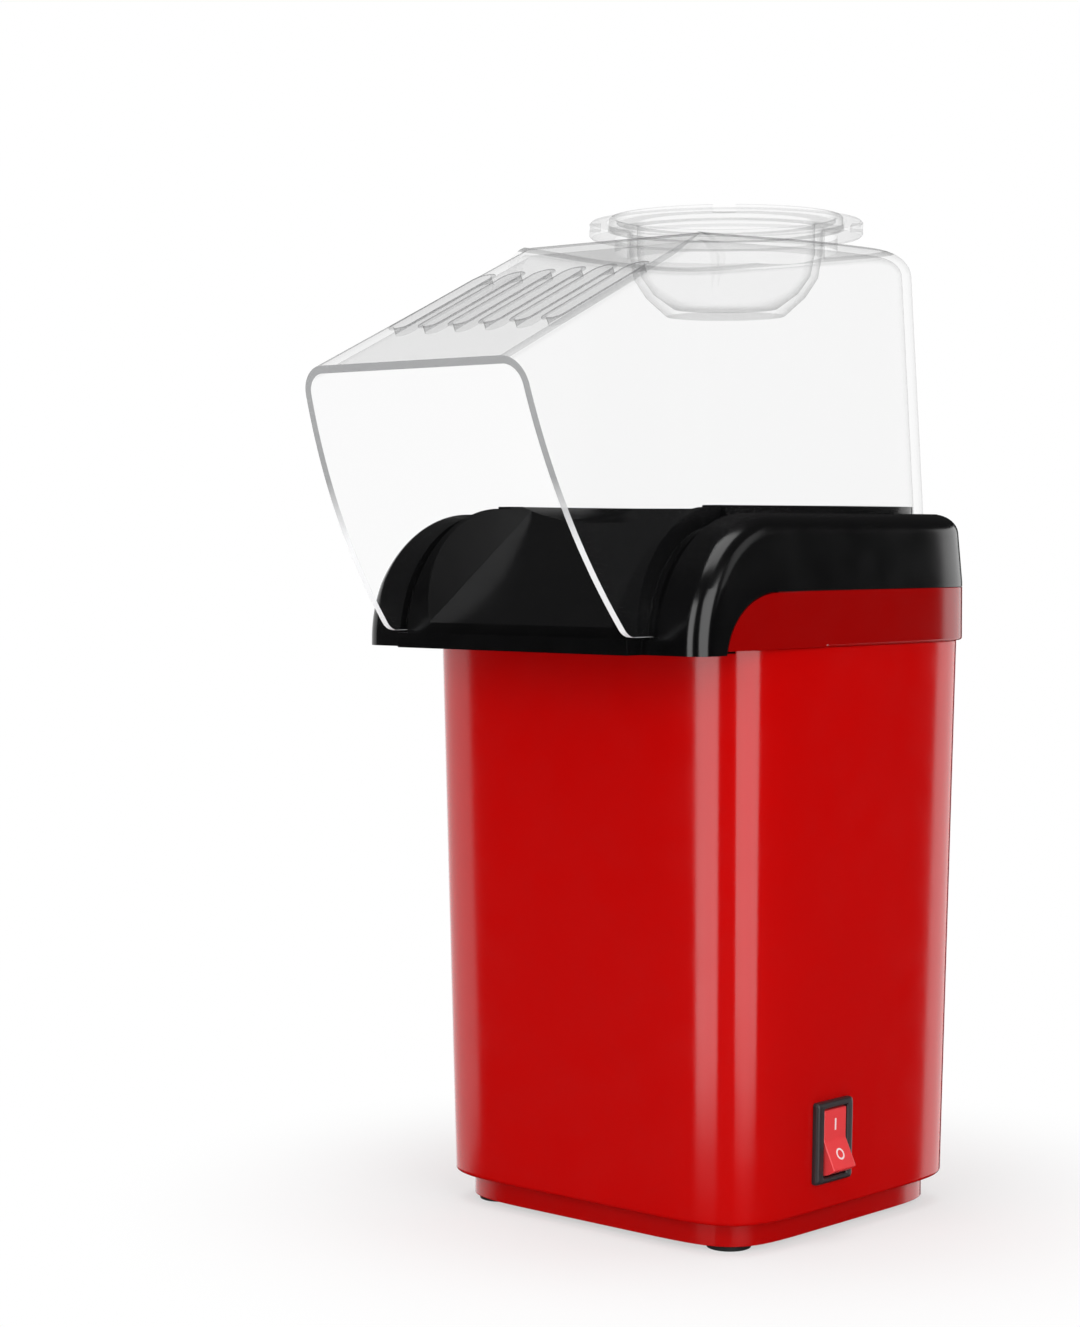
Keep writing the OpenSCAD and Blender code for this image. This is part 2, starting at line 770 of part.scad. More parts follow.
mica_t = 0.8;
mica_half = can_in - gap;
wire_r = 0.45;
wire_path_r = mica_half - 4;
wire_z = mica_z + 3;
wire_pitch = (mica_h - 6) / wire_turns;
notch_h = 1.3;
notch_in = wire_path_r - wire_r * sqrt(2) - mica_t / 2 - bore_gap;
screw_start = 30;
housing_thread_r = 1.2;
housing_screw_l = 2.6;
housing_head_r = 2.3;
housing_head_h = 1.3;

module heater_can() color("lightgray") placed() difference() {
    union() {
        disc(can_r, shoulder_z, support_z);
        intersection() {
            square_block(boss_x + boss_edge, boss_y + boss_edge, support_z - can_wall, support_z);
            behind(under_y - gap);
        }
    }
    disc(can_in, shoulder_z - eps, support_z + eps);
    corners(boss_x, boss_y) disc(screw_hole_r, support_z - can_wall - eps, support_z + eps);
    housing_bores(screw_hole_r);
}

// Ring that makes the fan's air pass through the swirl vents
module air_baffle() color("tan") placed()
    tube(can_in - bore_gap, chamber_out + bore_gap, vent_z + vent_h + 4, vent_z + vent_h + 6);

// Board through the axis with a notch for each pass of the wire at both ends
module mica_board(first, slot_z) difference() {
    translate([-mica_half, -mica_t / 2, mica_z]) cube([2 * mica_half, mica_t, mica_h]);
    translate([-mica_t / 2 - bore_gap, -1, slot_z]) cube([mica_t + 2 * bore_gap, 2, mica_h / 2 + eps]);
    for (k = [first : 2 : 4 * wire_turns]) {
        side = (k - first) % 4 == 0 ? 1 : -1;
        x = side > 0 ? notch_in : -mica_half - eps;
        translate([x, -1, wire_z + wire_pitch * k / 4 - notch_h / 2])
            cube([mica_half - notch_in + eps, 2, notch_h]);
    }
}

module mica_boards() color("wheat") placed() {
    mica_board(0, mica_z + mica_h / 2);
    rotate([0, 0, 90]) mica_board(1, mica_z - eps);
}

// Resistance wire wound square round the crossed boards
module heating_wire() color("dimgray") placed() {
    sides = 6;
    last = 4 * wire_turns;
    points = [
        for (k = [0 : last], j = [0 : sides - 1])
            let (a = 90 * k, b = 360 * j / sides, q = wire_path_r + wire_r * sqrt(2) * cos(b))
            [q * cos(a), q * sin(a), wire_z + wire_pitch * k / 4 + wire_r * sin(b)]
    ];
    skins = [
        for (k = [0 : last - 1], j = [0 : sides - 1])
            let (n = (j + 1) % sides, p = k * sides)
            each [[p + j, p + n, p + sides + n], [p + j, p + sides + n, p + sides + j]]
    ];
    polyhedron(points = points, faces = concat(
        [[for (j = [sides - 1 : -1 : 0]) j], [for (j = [0 : sides - 1]) last * sides + j]], skins));
}

// Bores of the radial screws that join the can to the fan housing
module housing_bores(r) around(3, screw_start) translate([can_r - 5, 0, shoulder_z + spigot_h / 2])
    rotate([0, 90, 0]) cylinder(h = 8, r = r);

module housing_screws() color("silver") placed() around(3, screw_start)
    translate([can_r + bore_gap, 0, shoulder_z + spigot_h / 2]) rotate([0, -90, 0])
        screw(housing_thread_r, housing_screw_l, housing_head_r, housing_head_h);

// ---------------------------------------------------------------- fan and motor

housing_wall = 3;
housing_in = can_r - housing_wall;
fan_r = housing_in - fan_gap;
arm_n = 4;
arm_w = 6;
arm_t = 2.5;
motor_plate_r = 16;
motor_boss_r = 5;
motor_screw_x = 8;
motor_screw_l = 7.5;
motor_screw_head_r = 2.7;
motor_screw_head_h = 1.6;
can_window_r = 2.5;
can_window_at = 0.7;
shaft_sink = 12;
hub_roof = 1.5;
hub_r = 8;
hub_z = housing_z + 6;
hub_h = 12;
blade_t = 1.2;
blade_arc_r = 17;

module fan_housing() color("darkslategray") placed() difference() {
    union() {
        tube(can_r, housing_in, housing_z, shoulder_z);
        tube(can_in - bore_gap, housing_in, shoulder_z - 1, mica_z);
        disc(motor_plate_r, housing_z, housing_z + arm_t);
        around(arm_n, 45) translate([motor_plate_r - 3, -arm_w / 2, housing_z])
            cube([housing_in - motor_plate_r + 4, arm_w, arm_t]);
    }
    disc(motor_boss_r + bore_gap, housing_z - eps, housing_z + arm_t + eps);
    for (s = [-1, 1]) translate([s * motor_screw_x, 0, 0])
        disc(screw_hole_r, housing_z - eps, housing_z + arm_t + eps);
    housing_bores(housing_thread_r);
}

module fan_impeller() color("darkgray") placed() difference() {
    union() {
        disc(hub_r, hub_z, hub_z + hub_h);
        intersection() {
            disc(fan_r, hub_z, hub_z + hub_h);
            around(fan_blades) fan_blade();
        }
    }
    disc(shaft_r, hub_z - eps, hub_z + hub_h - hub_roof);
}

// Cambered blade, pitched so that it drives the air up
module fan_blade() translate([hub_r - 1, -blade_arc_r * 0.75, hub_z - blade_arc_r * 0.32])
    rotate([90, 0, 90]) linear_extrude(fan_r - hub_r + 2) intersection() {
        difference() {
            circle(r = blade_arc_r);
            circle(r = blade_arc_r - blade_t);
        }
        square([blade_arc_r, blade_arc_r + 1]);
    }

module motor_shaft() color("gainsboro") placed()
    disc(shaft_r, housing_z - shaft_sink, hub_z + hub_h - hub_roof);

module motor_can() color("silver") placed() difference() {
    union() {
        disc(motor_r, motor_z, housing_z);
        disc(motor_boss_r, housing_z - 1, housing_z + 2);
    }
    disc(shaft_r + bore_gap, housing_z - shaft_sink - 1, housing_z + 3);
    for (s = [-1, 1]) translate([s * motor_screw_x, 0, 0])
        disc(thread_r, housing_z + arm_t - motor_screw_l - 1, housing_z + eps);
    for (s = [-1, 1]) translate([0, s * motor_r, motor_z + motor_l * can_window_at]) rotate([90, 0, 0])
        cylinder(h = 3, r = can_window_r, center = true);
}

diode_x = 4.2;
diode_y = 5.6;
diode_l = 5.2;
lead_r = 0.35;
lead_y = 3.6;
tab_x = 9;

module motor_end_cap() color("#202020") placed() {
    disc(motor_r - 1.4, motor_z - cap_h, motor_z);
    disc(4, motor_z - cap_h - cap_boss_h, motor_z - cap_h + eps);
    for (s = [-1, 1]) translate([s * tab_x - 1.4, -0.3, board_z - 1]) cube([2.8, 0.6, cap_h + cap_boss_h]);
}

module motor_screws() color("silver") placed() for (s = [-1, 1])
    translate([s * motor_screw_x, 0, housing_z + arm_t]) rotate([180, 0, 0])
        screw(thread_r, motor_screw_l, motor_screw_head_r, motor_screw_head_h);

module diode_places() for (sx = [-1, 1], sy = [-1, 1]) translate([sx * diode_x, sy * diode_y, 0]) children();

module rectifier_board() color("darkgreen") placed() difference() {
    disc(motor_r, board_z, board_z + board_t);
    diode_places() for (s = [-1, 1]) translate([0, s * lead_y, 0])
        disc(lead_r + 0.1, board_z - eps, board_z + board_t + eps);
    for (s = [-1, 1]) translate([s * tab_x - 1.5, -0.4, board_z - eps]) cube([3, 0.8, board_t + 2 * eps]);
}

module rectifier_diodes() color("#303030") placed() diode_places() {
    translate([0, 0, diode_z]) rotate([90, 0, 0]) {
        cylinder(h = diode_l, r = diode_r, center = true);
        cylinder(h = 2 * (lead_y + 0.3), r = lead_r, center = true);
    }
    for (s = [-1, 1]) translate([0, s * lead_y, 0]) disc(lead_r, diode_z, board_z + board_t + 0.4);
}

// ---------------------------------------------------------------- heat guards and cord entry

guard_z = (chamber_z + flange_top) / 2;
guard_cut = 20;
thermostat_r = 8;
thermostat_h = 5;
thermostat_at = 42;
ear_t = 2.4;
fuse_r = 2;
fuse_l = 11;
fuse_at = 138;
fuse_lead_r = 0.5;
fuse_lead_l = 26;
clip_w = 6;
clip_h = 4;
fuse_x = can_r + bore_gap + fuse_r + 0.15;

module thermostat() color("#2a2a2a") placed() rotate([0, 0, thermostat_at]) difference() {
    translate([can_r - 2, 0, guard_z]) rotate([0, 90, 0]) {
        cylinder(h = thermostat_h + 2, r = thermostat_r);
        cylinder(h = thermostat_h + 4, r = thermostat_r / 2);
        translate([-2, -1.5 * thermostat_r, 0]) cube([4, 3 * thermostat_r, ear_t + 2]);
    }
    disc(can_r + bore_gap, guard_z - guard_cut, guard_z + guard_cut);
}

module thermal_fuse() color("gainsboro") placed() rotate([0, 0, fuse_at]) difference() {
    union() {
        translate([fuse_x, 0, guard_z]) {
            cylinder(h = fuse_l, r = fuse_r, center = true);
            cylinder(h = fuse_lead_l, r = fuse_lead_r, center = true);
        }
        translate([can_r - 1, -clip_w / 2, guard_z - clip_h / 2]) cube([fuse_r + 2, clip_w, clip_h]);
    }
    disc(can_r + bore_gap, guard_z - guard_cut, guard_z + guard_cut);
}

module cord_bush() color("#151515") placed() {
    wall_y = body_half_d + body_draft * (bush_z - body_z) / body_h;
    translate([0, wall_y, bush_z]) rotate([-90, 0, 0]) difference() {
        union() {
            translate([0, 0, 0.2]) cylinder(h = 1.8, r = bush_r + 2);
            translate([0, 0, -wall - 1]) cylinder(h = wall + 2, r = bush_r - bore_gap);
            translate([0, 0, -wall - 2.4]) cylinder(h = 2, r = bush_r + 1.5);
        }
        translate([0, 0, -far / 2]) cylinder(h = far, r = bush_bore);
    }
}

// ---------------------------------------------------------------- switch

wall_lean = atan(body_draft / body_h);
switch_x = body_half_w + body_draft * (switch_z - body_z) / body_h;
bezel_t = 1.9;
bezel_seat = 0.04;
housing_deep = 13;
rocker_half_w = 4.6;
rocker_gap = 0.25;
pivot_x = -0.6;
terminal_l = 8;
terminal_z = 5;
tip_x = 4;
tip_z = bezel_h / 2 - 2.9;
rocker_r = sqrt(tip_x * tip_x + tip_z * tip_z);
rocker_back = 1.5;
pin_r = 1.2;

// Frame on the switch's wall, with +X out of the body
module switch_frame() translate([switch_x, -switch_y, switch_z]) rotate([0, wall_lean, 0]) children();

module slab(x0, x1, half_y, half_z) translate([x0, -half_y, -half_z]) cube([x1 - x0, 2 * half_y, 2 * half_z]);

module switch_body() color("#262226") placed() switch_frame() difference() {
    union() {
        slab(bezel_seat, bezel_t - 0.6, bezel_w / 2, bezel_h / 2);
        slab(bezel_t - 0.7, bezel_t, bezel_w / 2 - 0.6, bezel_h / 2 - 0.6);
        slab(-housing_deep, bezel_seat + eps, cut_y_side / 2 - 0.1, cut_z_side / 2 - 0.1);
    }
    slab(pivot_x - rocker_back - 2.6, bezel_t + 1, rocker_half_w + rocker_gap, rocker_r + rocker_gap);
    translate([pivot_x, 0, 0]) rotate([90, 0, 0])
        cylinder(h = 2 * (rocker_half_w + 1.2), r = pin_r + bore_gap, center = true);
}

module switch_terminals() color("goldenrod") placed() switch_frame() for (s = [-1, 1])
    translate([-housing_deep - terminal_l, -2.4, s * terminal_z - 0.4]) cube([terminal_l, 4.8, 0.8]);

module switch_rocker() color("tomato") placed() switch_frame() translate([pivot_x, 0, 0])
    rotate([0, -rocker_half_turn, 0]) {
        rotate([90, 0, 0]) linear_extrude(2 * rocker_half_w, center = true) intersection() {
            circle(r = rocker_r);
            polygon([
                [-rocker_back, -rocker_r - 1], [tip_x + tan(rocker_half_turn), -rocker_r - 1],
                [tip_x, -tip_z], [tip_x - tip_z * tan(rocker_half_turn), 0], [tip_x, tip_z],
                [tip_x + tan(rocker_half_turn), rocker_r + 1], [-rocker_back, rocker_r + 1]
            ]);
        }
        rotate([90, 0, 0]) cylinder(h = 2 * (rocker_half_w + 1), r = pin_r, center = true);
    }

// ---------------------------------------------------------------- output

hood();
measuring_cup();
upper_shell();
side_band();
body_shell();
base_plate();
rubber_feet();
base_screws();
switch_body();
switch_terminals();
switch_rocker();
popping_chamber();
chamber_gasket();
support_plate();
chamber_screws();
heater_can();
air_baffle();
mica_boards();
heating_wire();
fan_housing();
fan_impeller();
motor_shaft();
motor_can();
motor_end_cap();
motor_screws();
rectifier_board();
rectifier_diodes();
thermostat();
thermal_fuse();
housing_screws();
cord_bush();
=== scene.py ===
"""Looks of a hot-air popcorn maker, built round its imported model.

Shapes are worked out in millimetres about the upright axis of the popping chamber and then put
into the model's frame, in metres. The chute faces -Y and the switch is on the +X side."""
import math

import bmesh
import bpy
from mathutils import Matrix, Vector


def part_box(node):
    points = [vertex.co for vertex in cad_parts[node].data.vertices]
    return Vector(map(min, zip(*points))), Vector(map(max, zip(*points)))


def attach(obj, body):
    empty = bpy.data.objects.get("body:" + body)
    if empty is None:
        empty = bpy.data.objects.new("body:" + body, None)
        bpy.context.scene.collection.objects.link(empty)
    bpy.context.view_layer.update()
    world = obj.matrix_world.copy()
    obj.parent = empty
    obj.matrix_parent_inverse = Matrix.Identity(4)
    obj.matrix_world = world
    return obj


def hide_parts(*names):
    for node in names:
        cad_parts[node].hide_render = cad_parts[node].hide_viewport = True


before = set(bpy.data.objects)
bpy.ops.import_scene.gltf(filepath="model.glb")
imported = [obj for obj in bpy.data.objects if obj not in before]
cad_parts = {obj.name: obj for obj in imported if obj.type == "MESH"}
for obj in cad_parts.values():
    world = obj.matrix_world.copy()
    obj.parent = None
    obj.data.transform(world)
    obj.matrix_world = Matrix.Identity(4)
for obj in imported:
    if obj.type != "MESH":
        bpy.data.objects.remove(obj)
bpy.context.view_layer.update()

# ---------------------------------------------------------------- driving sizes, in millimetres
MM = 0.001
chamber_low, chamber_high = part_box("popping_chamber")
AXIS_Y = (chamber_low[1] + chamber_high[1]) / 2 / MM
GAP = 0.3  # between pieces that sit in each other
FAR = 300.0  # reaches past the whole machine

# A name that ends in _Y or _FRONT is a distance in front of the axis, apart from AXIS_Y and CUP_Y

# Body, with its half sizes at the foot. The draft is how far each side leans out up to the top.
BODY_HALF_W = 53.4
BODY_HALF_D = 49.3
BODY_DRAFT = 2.8
BODY_Z = 7.7
WALL = 2.2
SQUARE = 6.5  # power of the squared outlines
BUSH_HOLE_R = 6
BUSH_Z = 21

# Band round the sides and the back
BAND_Z = 151.5
BAND_TOP = 165.7
BAND_OUT = 1.2
BAND_FRONT = 46.0  # where its round part ends

BODY_H = BAND_Z - BODY_Z
TOP_HALF_W = BODY_HALF_W + BODY_DRAFT
TOP_HALF_D = BODY_HALF_D + BODY_DRAFT
BAND_HALF_W = TOP_HALF_W + BAND_OUT
BAND_HALF_D = TOP_HALF_D + BAND_OUT

# Upper shell: the fenders' arch as seen from the side, their rounded edge and the lean of the sides
ARCH_R = 33.0
ARCH_Y = 36.5
ARCH_Z = BAND_Z + 0.5
EDGE_R = 5.0
SHELL_LEAN = 0.07
LEAN_Z = BAND_TOP + 1.2
SHELL_TOP = ARCH_Z + ARCH_R
SHELL_FLOOR = BAND_Z - 1

# Arch in each skirt of the shell, an upright half ellipse that shows the band
SKIRT_Y = 39.5
SKIRT_HALF = 20.0
SKIRT_Z = SHELL_FLOOR - 1.5
SKIRT_IN = 7.0

# Chute: its lip in front, its ramp up to the chamber and the cheeks beside it
CHAMBER_R = 37.0
LIP_H = 3.8
LIP_Y = 75.0
CHUTE_HALF_W = 31.0
CHUTE_FLARE = 0.33
RAMP_Z = SHELL_FLOOR + LIP_H
RAMP_TOP_Z = SHELL_TOP - 2.4
RAMP_TAN = (RAMP_TOP_Z - RAMP_Z) / (LIP_Y - CHAMBER_R)
INNER_Y = 20.0  # the chute and the cheeks reach back to here
UNDER_Y = CHAMBER_R + 4
SHELL_WALL = 2.5

# Wall that stands inside the hood's foot, and the dish round the mouth
UPSTAND_H = 2.0
UPSTAND_T = 2.4
DISH_STEP = 0.8
DISH_H = 3.0
DISH_SLOPE = 2.2
CHEEK_R = 32.5
CHEEK_Y = 39.0
CHEEK_Z = SHELL_TOP + UPSTAND_H - 0.5 - CHEEK_R
DECK_Z = SHELL_TOP - 7
CHANNEL_Z = SHELL_TOP - 3

# Hood: its height and reach, and its half sizes at the foot and at the mouth
CLEAR_WALL = 2.0
HOOD_TOP = SHELL_TOP + 70.5
HOOD_HALF_W = 46.6
HOOD_HALF_D = 48.0
HOOD_EDGE_R = 7.0
HOOD_SQUARE = 6.0
MOUTH_Y = 110.0
MOUTH_Z = SHELL_TOP + 36.2
MOUTH_HALF_W = 41.4
MOUTH_LOW_Z = RAMP_Z + 2 * GAP
BEND_Y = 34.9  # where the sloping roof meets the flat top
ROOF_TAN = (HOOD_TOP - MOUTH_Z) / (MOUTH_Y - BEND_Y)
ROOF_A = math.atan(ROOF_TAN)
ROOF_LOW = MOUTH_Z - 9
FRONT_LEAN = 0.06
REAR_LEAN = 0.045
REAR_Y0 = 10.0  # the sides narrow from this far behind the axis
FRONT_Y1 = 40.0  # to this far in front of it
RIM_R = 170.0  # the mouth's rim is an arc, seen from the side
RIM_TOP_A = math.radians(14)
MOUTH_FILLET = 5.0
FOOT_FRONT = 69.0  # the rim's faces end here

# Groove in the shell for the hood's walls
GROOVE_IN = MOUTH_HALF_W - CLEAR_WALL - GAP
GROOVE_OUT = 44.0
GROOVE_R = 29.8
GROOVE_Y = 37.5
GROOVE_Z = CHANNEL_Z - GROOVE_R

# Steam slots in the roof, each with a raised lip
SLOT_N = 6
SLOT_PITCH = 10.4
SLOT_W = 5.0
SLOT_L = 36.8
SLOT_LIP_W = 1.2
SLOT_LIP_RISE = 0.25

# Seat ring on the hood, and the measuring cup in it
CUP_Y = 11.0
SEAT_R = 36.8
SEAT_Z = HOOD_TOP + 4
SEAT_TOP = HOOD_TOP + 8.2
NECK_R = 30.0
CUP_RIM_R = 31.5
CUP_RIM_W = 2.0
CUP_TOP = HOOD_TOP + 9.6
CUP_REST = SEAT_Z + CLEAR_WALL
BOWL_R = 26.0
BOWL_FLOOR_R = 16.0
BOWL_Z = HOOD_TOP - 17.0
CUP_HOLE_R = BOWL_R + 0.6
LUG_AT = (42, 222)  # angles of the slots in the ring for the cup's lugs
LUG_HALF_W = 3.5
LUG_IN = 3.0
LUG_Z = SEAT_Z + 2
LUG_H = 1.6
NOTCH_AT = -52
NOTCH_HALF_W = 3.0
NOTCH_DEPTH = 2.0

# Rocker switch, in a frame on the body's wall with +X out of it
SWITCH_Y = 12.5
SWITCH_Z = 25.5
WALL_LEAN = math.atan(BODY_DRAFT / BODY_H)
SWITCH_X = BODY_HALF_W + BODY_DRAFT * (SWITCH_Z - BODY_Z) / BODY_H
SWITCH_FRAME = Matrix.Translation((SWITCH_X, -SWITCH_Y, SWITCH_Z))
SWITCH_FRAME = SWITCH_FRAME @ Matrix.Rotation(WALL_LEAN, 4, "Y")
BEZEL_W = 15.0
BEZEL_H = 21.0
BEZEL_T = 1.9
HOLE_W = BEZEL_W - 2
HOLE_H = BEZEL_H - 1.8
HOLE_IN = 37.5  # how far in the hole's cutter reaches
HOUSING_FIT = 0.1
HOUSING_IN = 13.0
ROCKER_HALF_W = 4.6
ROCKER_GAP = 0.25
ROCKER_TURN = math.radians(13)
ROCKER_BACK = 1.5
PIVOT_X = -0.6
PIN_R = 1.2
TIP_X = 4.0
TIP_Z = BEZEL_H / 2 - 2.9
ROCKER_R = math.hypot(TIP_X, TIP_Z)
ROCKER_ROOM = 2.6  # behind the rocker
DIP_X = TIP_X - TIP_Z * math.tan(ROCKER_TURN)  # where its two faces meet
MARK_HALF_H = 1.5
BAR_HALF_W = 0.28
RING_IN = 1.05
PRINT_LOW = -0.04
PRINT_HIGH = 0.05


# ---------------------------------------------------------------- mesh helpers
def in_frame(point):
    """A point about the chamber axis, in millimetres, as a point of the frame in metres."""
    return Vector((point[0] * MM, (point[1] + AXIS_Y) * MM, point[2] * MM))


def solid(name, points, faces, matrix=None):
    """Closed mesh object from points in millimetres about the axis, or moved by matrix first."""
    if matrix is not None:
        points = [matrix @ Vector(p) for p in points]
    mesh = bpy.data.meshes.new(name)
    mesh.from_pydata([in_frame(p) for p in points], [], faces)
    mesh.update()
    work = bmesh.new()
    work.from_mesh(mesh)
    bmesh.ops.recalc_face_normals(work, faces=work.faces)
    work.to_mesh(mesh)
    work.free()
    obj = bpy.data.objects.new(name, mesh)
    bpy.context.scene.collection.objects.link(obj)
    return obj


def loft(name, rings, looped=False, matrix=None):
    """Solid through rings of equal length, capped at both ends or looped back to its first ring."""
    n, m = len(rings[0]), len(rings)
    faces = []
    for j in range(m if looped else m - 1):
        low, high = j * n, (j + 1) % m * n
        faces += [(low + i, low + (i + 1) % n, high + (i + 1) % n, high + i) for i in range(n)]
    if not looped:
        faces += [tuple(range(n))[::-1], tuple(range((m - 1) * n, m * n))]
    return solid(name, [p for ring in rings for p in ring], faces, matrix)


# Where a point of an outline goes when it is swept by t along an axis
SWEEPS = {
    "x": lambda p, t: (t, p[0], p[1]),
    "y": lambda p, t: (p[0], t, p[1]),
    "z": lambda p, t: (p[0], p[1], t),
}


def prism(name, outline, low, high, axis="z", matrix=None):
    """Outline swept from low to high along an axis. It is given in the other two coordinates."""
    return loft(name, [[SWEEPS[axis](p, t) for p in outline] for t in (low, high)], matrix=matrix)


def lathe(name, profile, centre=(0.0, 0.0), steps=144, matrix=None):
    """Closed (radius, z) profile spun about an upright axis."""
    x, y = centre
    rings = []
    for i in range(steps):
        a = 2 * math.pi * i / steps
        rings.append([(x + r * math.cos(a), y + r * math.sin(a), z) for r, z in profile])
    return loft(name, rings, looped=True, matrix=matrix)


def box(name, low, high, matrix=None):
    corners = [(low[0], low[1]), (high[0], low[1]), (high[0], high[1]), (low[0], high[1])]
    return prism(name, corners, low[2], high[2], matrix=matrix)


def front_box(y, z_high=FAR):
    """Cutter for everything in front of y."""
    return box("front", (-FAR, -FAR, 0), (FAR, y, z_high))


def settle(obj):
    """Applies the object's modifiers."""
    graph = bpy.context.evaluated_depsgraph_get()
    mesh = bpy.data.meshes.new_from_object(obj.evaluated_get(graph))
    old = obj.data
    obj.modifiers.clear()
    obj.data = mesh
    bpy.data.meshes.remove(old)
    return obj


def make_slots(obj, number):
    """Adds empty material slots, so that faces can carry numbers up to this one."""
    while len(obj.data.materials) <= number:
        obj.data.materials.append(None)


def combine(obj, tool, operation="DIFFERENCE", material=0):
    """Cuts or joins a tool. The faces that the tool leaves take the material of that number."""
    make_slots(obj, material)
    make_slots(tool, material)
    for face in tool.data.polygons:
        face.material_index = material
    step = obj.modifiers.new("step", "BOOLEAN")
    step.solver = "EXACT"
    step.operation = operation
    step.object = tool
    settle(obj)
    mesh = tool.data
    bpy.data.objects.remove(tool)
    bpy.data.meshes.remove(mesh)
    return obj


def weld(obj, distance, flat=0.3):
    """Joins points closer than distance, and faces that lie within flat degrees of each other."""
    work = bmesh.new()
    work.from_mesh(obj.data)
    bmesh.ops.remove_doubles(work, verts=work.verts, dist=distance * MM)
    bmesh.ops.dissolve_limit(
        work, angle_limit=math.radians(flat), delimit={"MATERIAL"}, verts=work.verts,
        edges=work.edges)
    work.to_mesh(obj.data)
    work.free()


def soften(obj, width, segments=2, limit=35, material=-1):
    """Rounds the edges sharper than limit degrees, with the material of that number on them."""
    bevel = obj.modifiers.new("edges", "BEVEL")
    bevel.width = width * MM
    bevel.segments = segments
    bevel.limit_method = "ANGLE"
    bevel.angle_limit = math.radians(limit)
    bevel.use_clamp_overlap = True
    bevel.miter_outer = "MITER_ARC"
    bevel.material = material
    settle(obj)


def smooth(obj, limit=32):
    """Smooth shading that stays sharp above limit degrees and keeps large flat faces flat."""
    obj.data.set_sharp_from_angle(angle=math.radians(limit))
    for face in obj.data.polygons:
        face.use_smooth = True
    level = obj.modifiers.new("level", "WEIGHTED_NORMAL")
    level.keep_sharp = True
    return obj


def wear(obj, *mats):
    """Gives the object its materials. A face keeps the number of its own."""
    numbers = [face.material_index for face in obj.data.polygons]
    obj.data.materials.clear()
    for mat in mats:
        obj.data.materials.append(mat)
    for face, number in zip(obj.data.polygons, numbers):
        face.material_index = min(number, len(mats) - 1)
    return obj


def piece(obj, body, slot, *nodes):
    """Hangs the object on the body that it rides on, and hides the nodes that it stands for. The
    slot is not used.
    """
    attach(obj, body)
    if nodes:
        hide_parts(*nodes)


def refined(node, name, mat, body, slot, bevel):
    """A finer copy of a CAD node, with its flat facets joined and its sharp edges rounded."""
    obj = bpy.data.objects.new(name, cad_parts[node].data.copy())
    bpy.context.scene.collection.objects.link(obj)
    normals = obj.data.attributes.get("custom_normal")
    if normals:
        obj.data.attributes.remove(normals)
    weld(obj, 0.002, 1.0)
    soften(obj, bevel)
    piece(wear(smooth(obj), mat), body, slot, node)


# ---------------------------------------------------------------- outlines
def arc(u, v, r, a0, a1, n):
    """Points of a circular arc about (u, v), with its angles in degrees."""
    angles = [math.radians(a0 + (a1 - a0) * i / n) for i in range(n + 1)]
    return [(u + r * math.cos(a), v + r * math.sin(a)) for a in angles]


def circle(r, steps=144, centre=(0, 0)):
    return arc(*centre, r, 0, 360 * (1 - 1 / steps), steps - 1)


def quarter_turn(steps=5):
    return [math.pi / 2 * i / steps for i in range(steps + 1)]


def rounded_rectangle(half_w, half_h, r, n=6):
    outline = []
    for k, (side, up) in enumerate(((1, 1), (-1, 1), (-1, -1), (1, -1))):
        outline += arc(side * (half_w - r), up * (half_h - r), r, 90 * k, 90 * k + 90, n)
    return outline


def power(value, exponent):
    return math.copysign(abs(value) ** exponent, value)


def squircle(w, d, p=SQUARE, n=192):
    """Superellipse outline."""
    return [
        (w * power(math.cos(a), 2 / p), d * power(math.sin(a), 2 / p))
        for a in (2 * math.pi * i / n for i in range(n))
    ]


def ring_at(outline, z):
    return [(x, y, z) for x, y in outline]


def skirt_curve(half, high, angles):
    """Points of an upright half ellipse in the place of a skirt's arch, at angles in degrees."""
    return [
        (-SKIRT_Y + half * math.cos(math.radians(a)), SKIRT_Z + high * math.sin(math.radians(a)))
        for a in angles
    ]


# ---------------------------------------------------------------- materials
def set_inputs(node, values):
    for key, value in values.items():
        node.inputs[key].default_value = value


def add_nodes(tree, *kinds):
    return [tree.nodes.new("ShaderNode" + kind) for kind in kinds]


def map_range(tree, source, low, high, at_low, at_high, interpolation="LINEAR"):
    """Output that goes from at_low to at_high while source goes from low to high."""
    node = tree.nodes.new("ShaderNodeMapRange")
    node.interpolation_type = interpolation
    set_inputs(node, {"From Min": low, "From Max": high, "To Min": at_low, "To Max": at_high})
    tree.links.new(source, node.inputs["Value"])
    return node.outputs["Result"]


NOISE_LOW, NOISE_HIGH = 0.3, 0.7  # where most of a noise's values lie
CLOUD_SHARE = 12  # the colour's noise is this much coarser than the roughness's
BUMP_DEPTH = 0.02


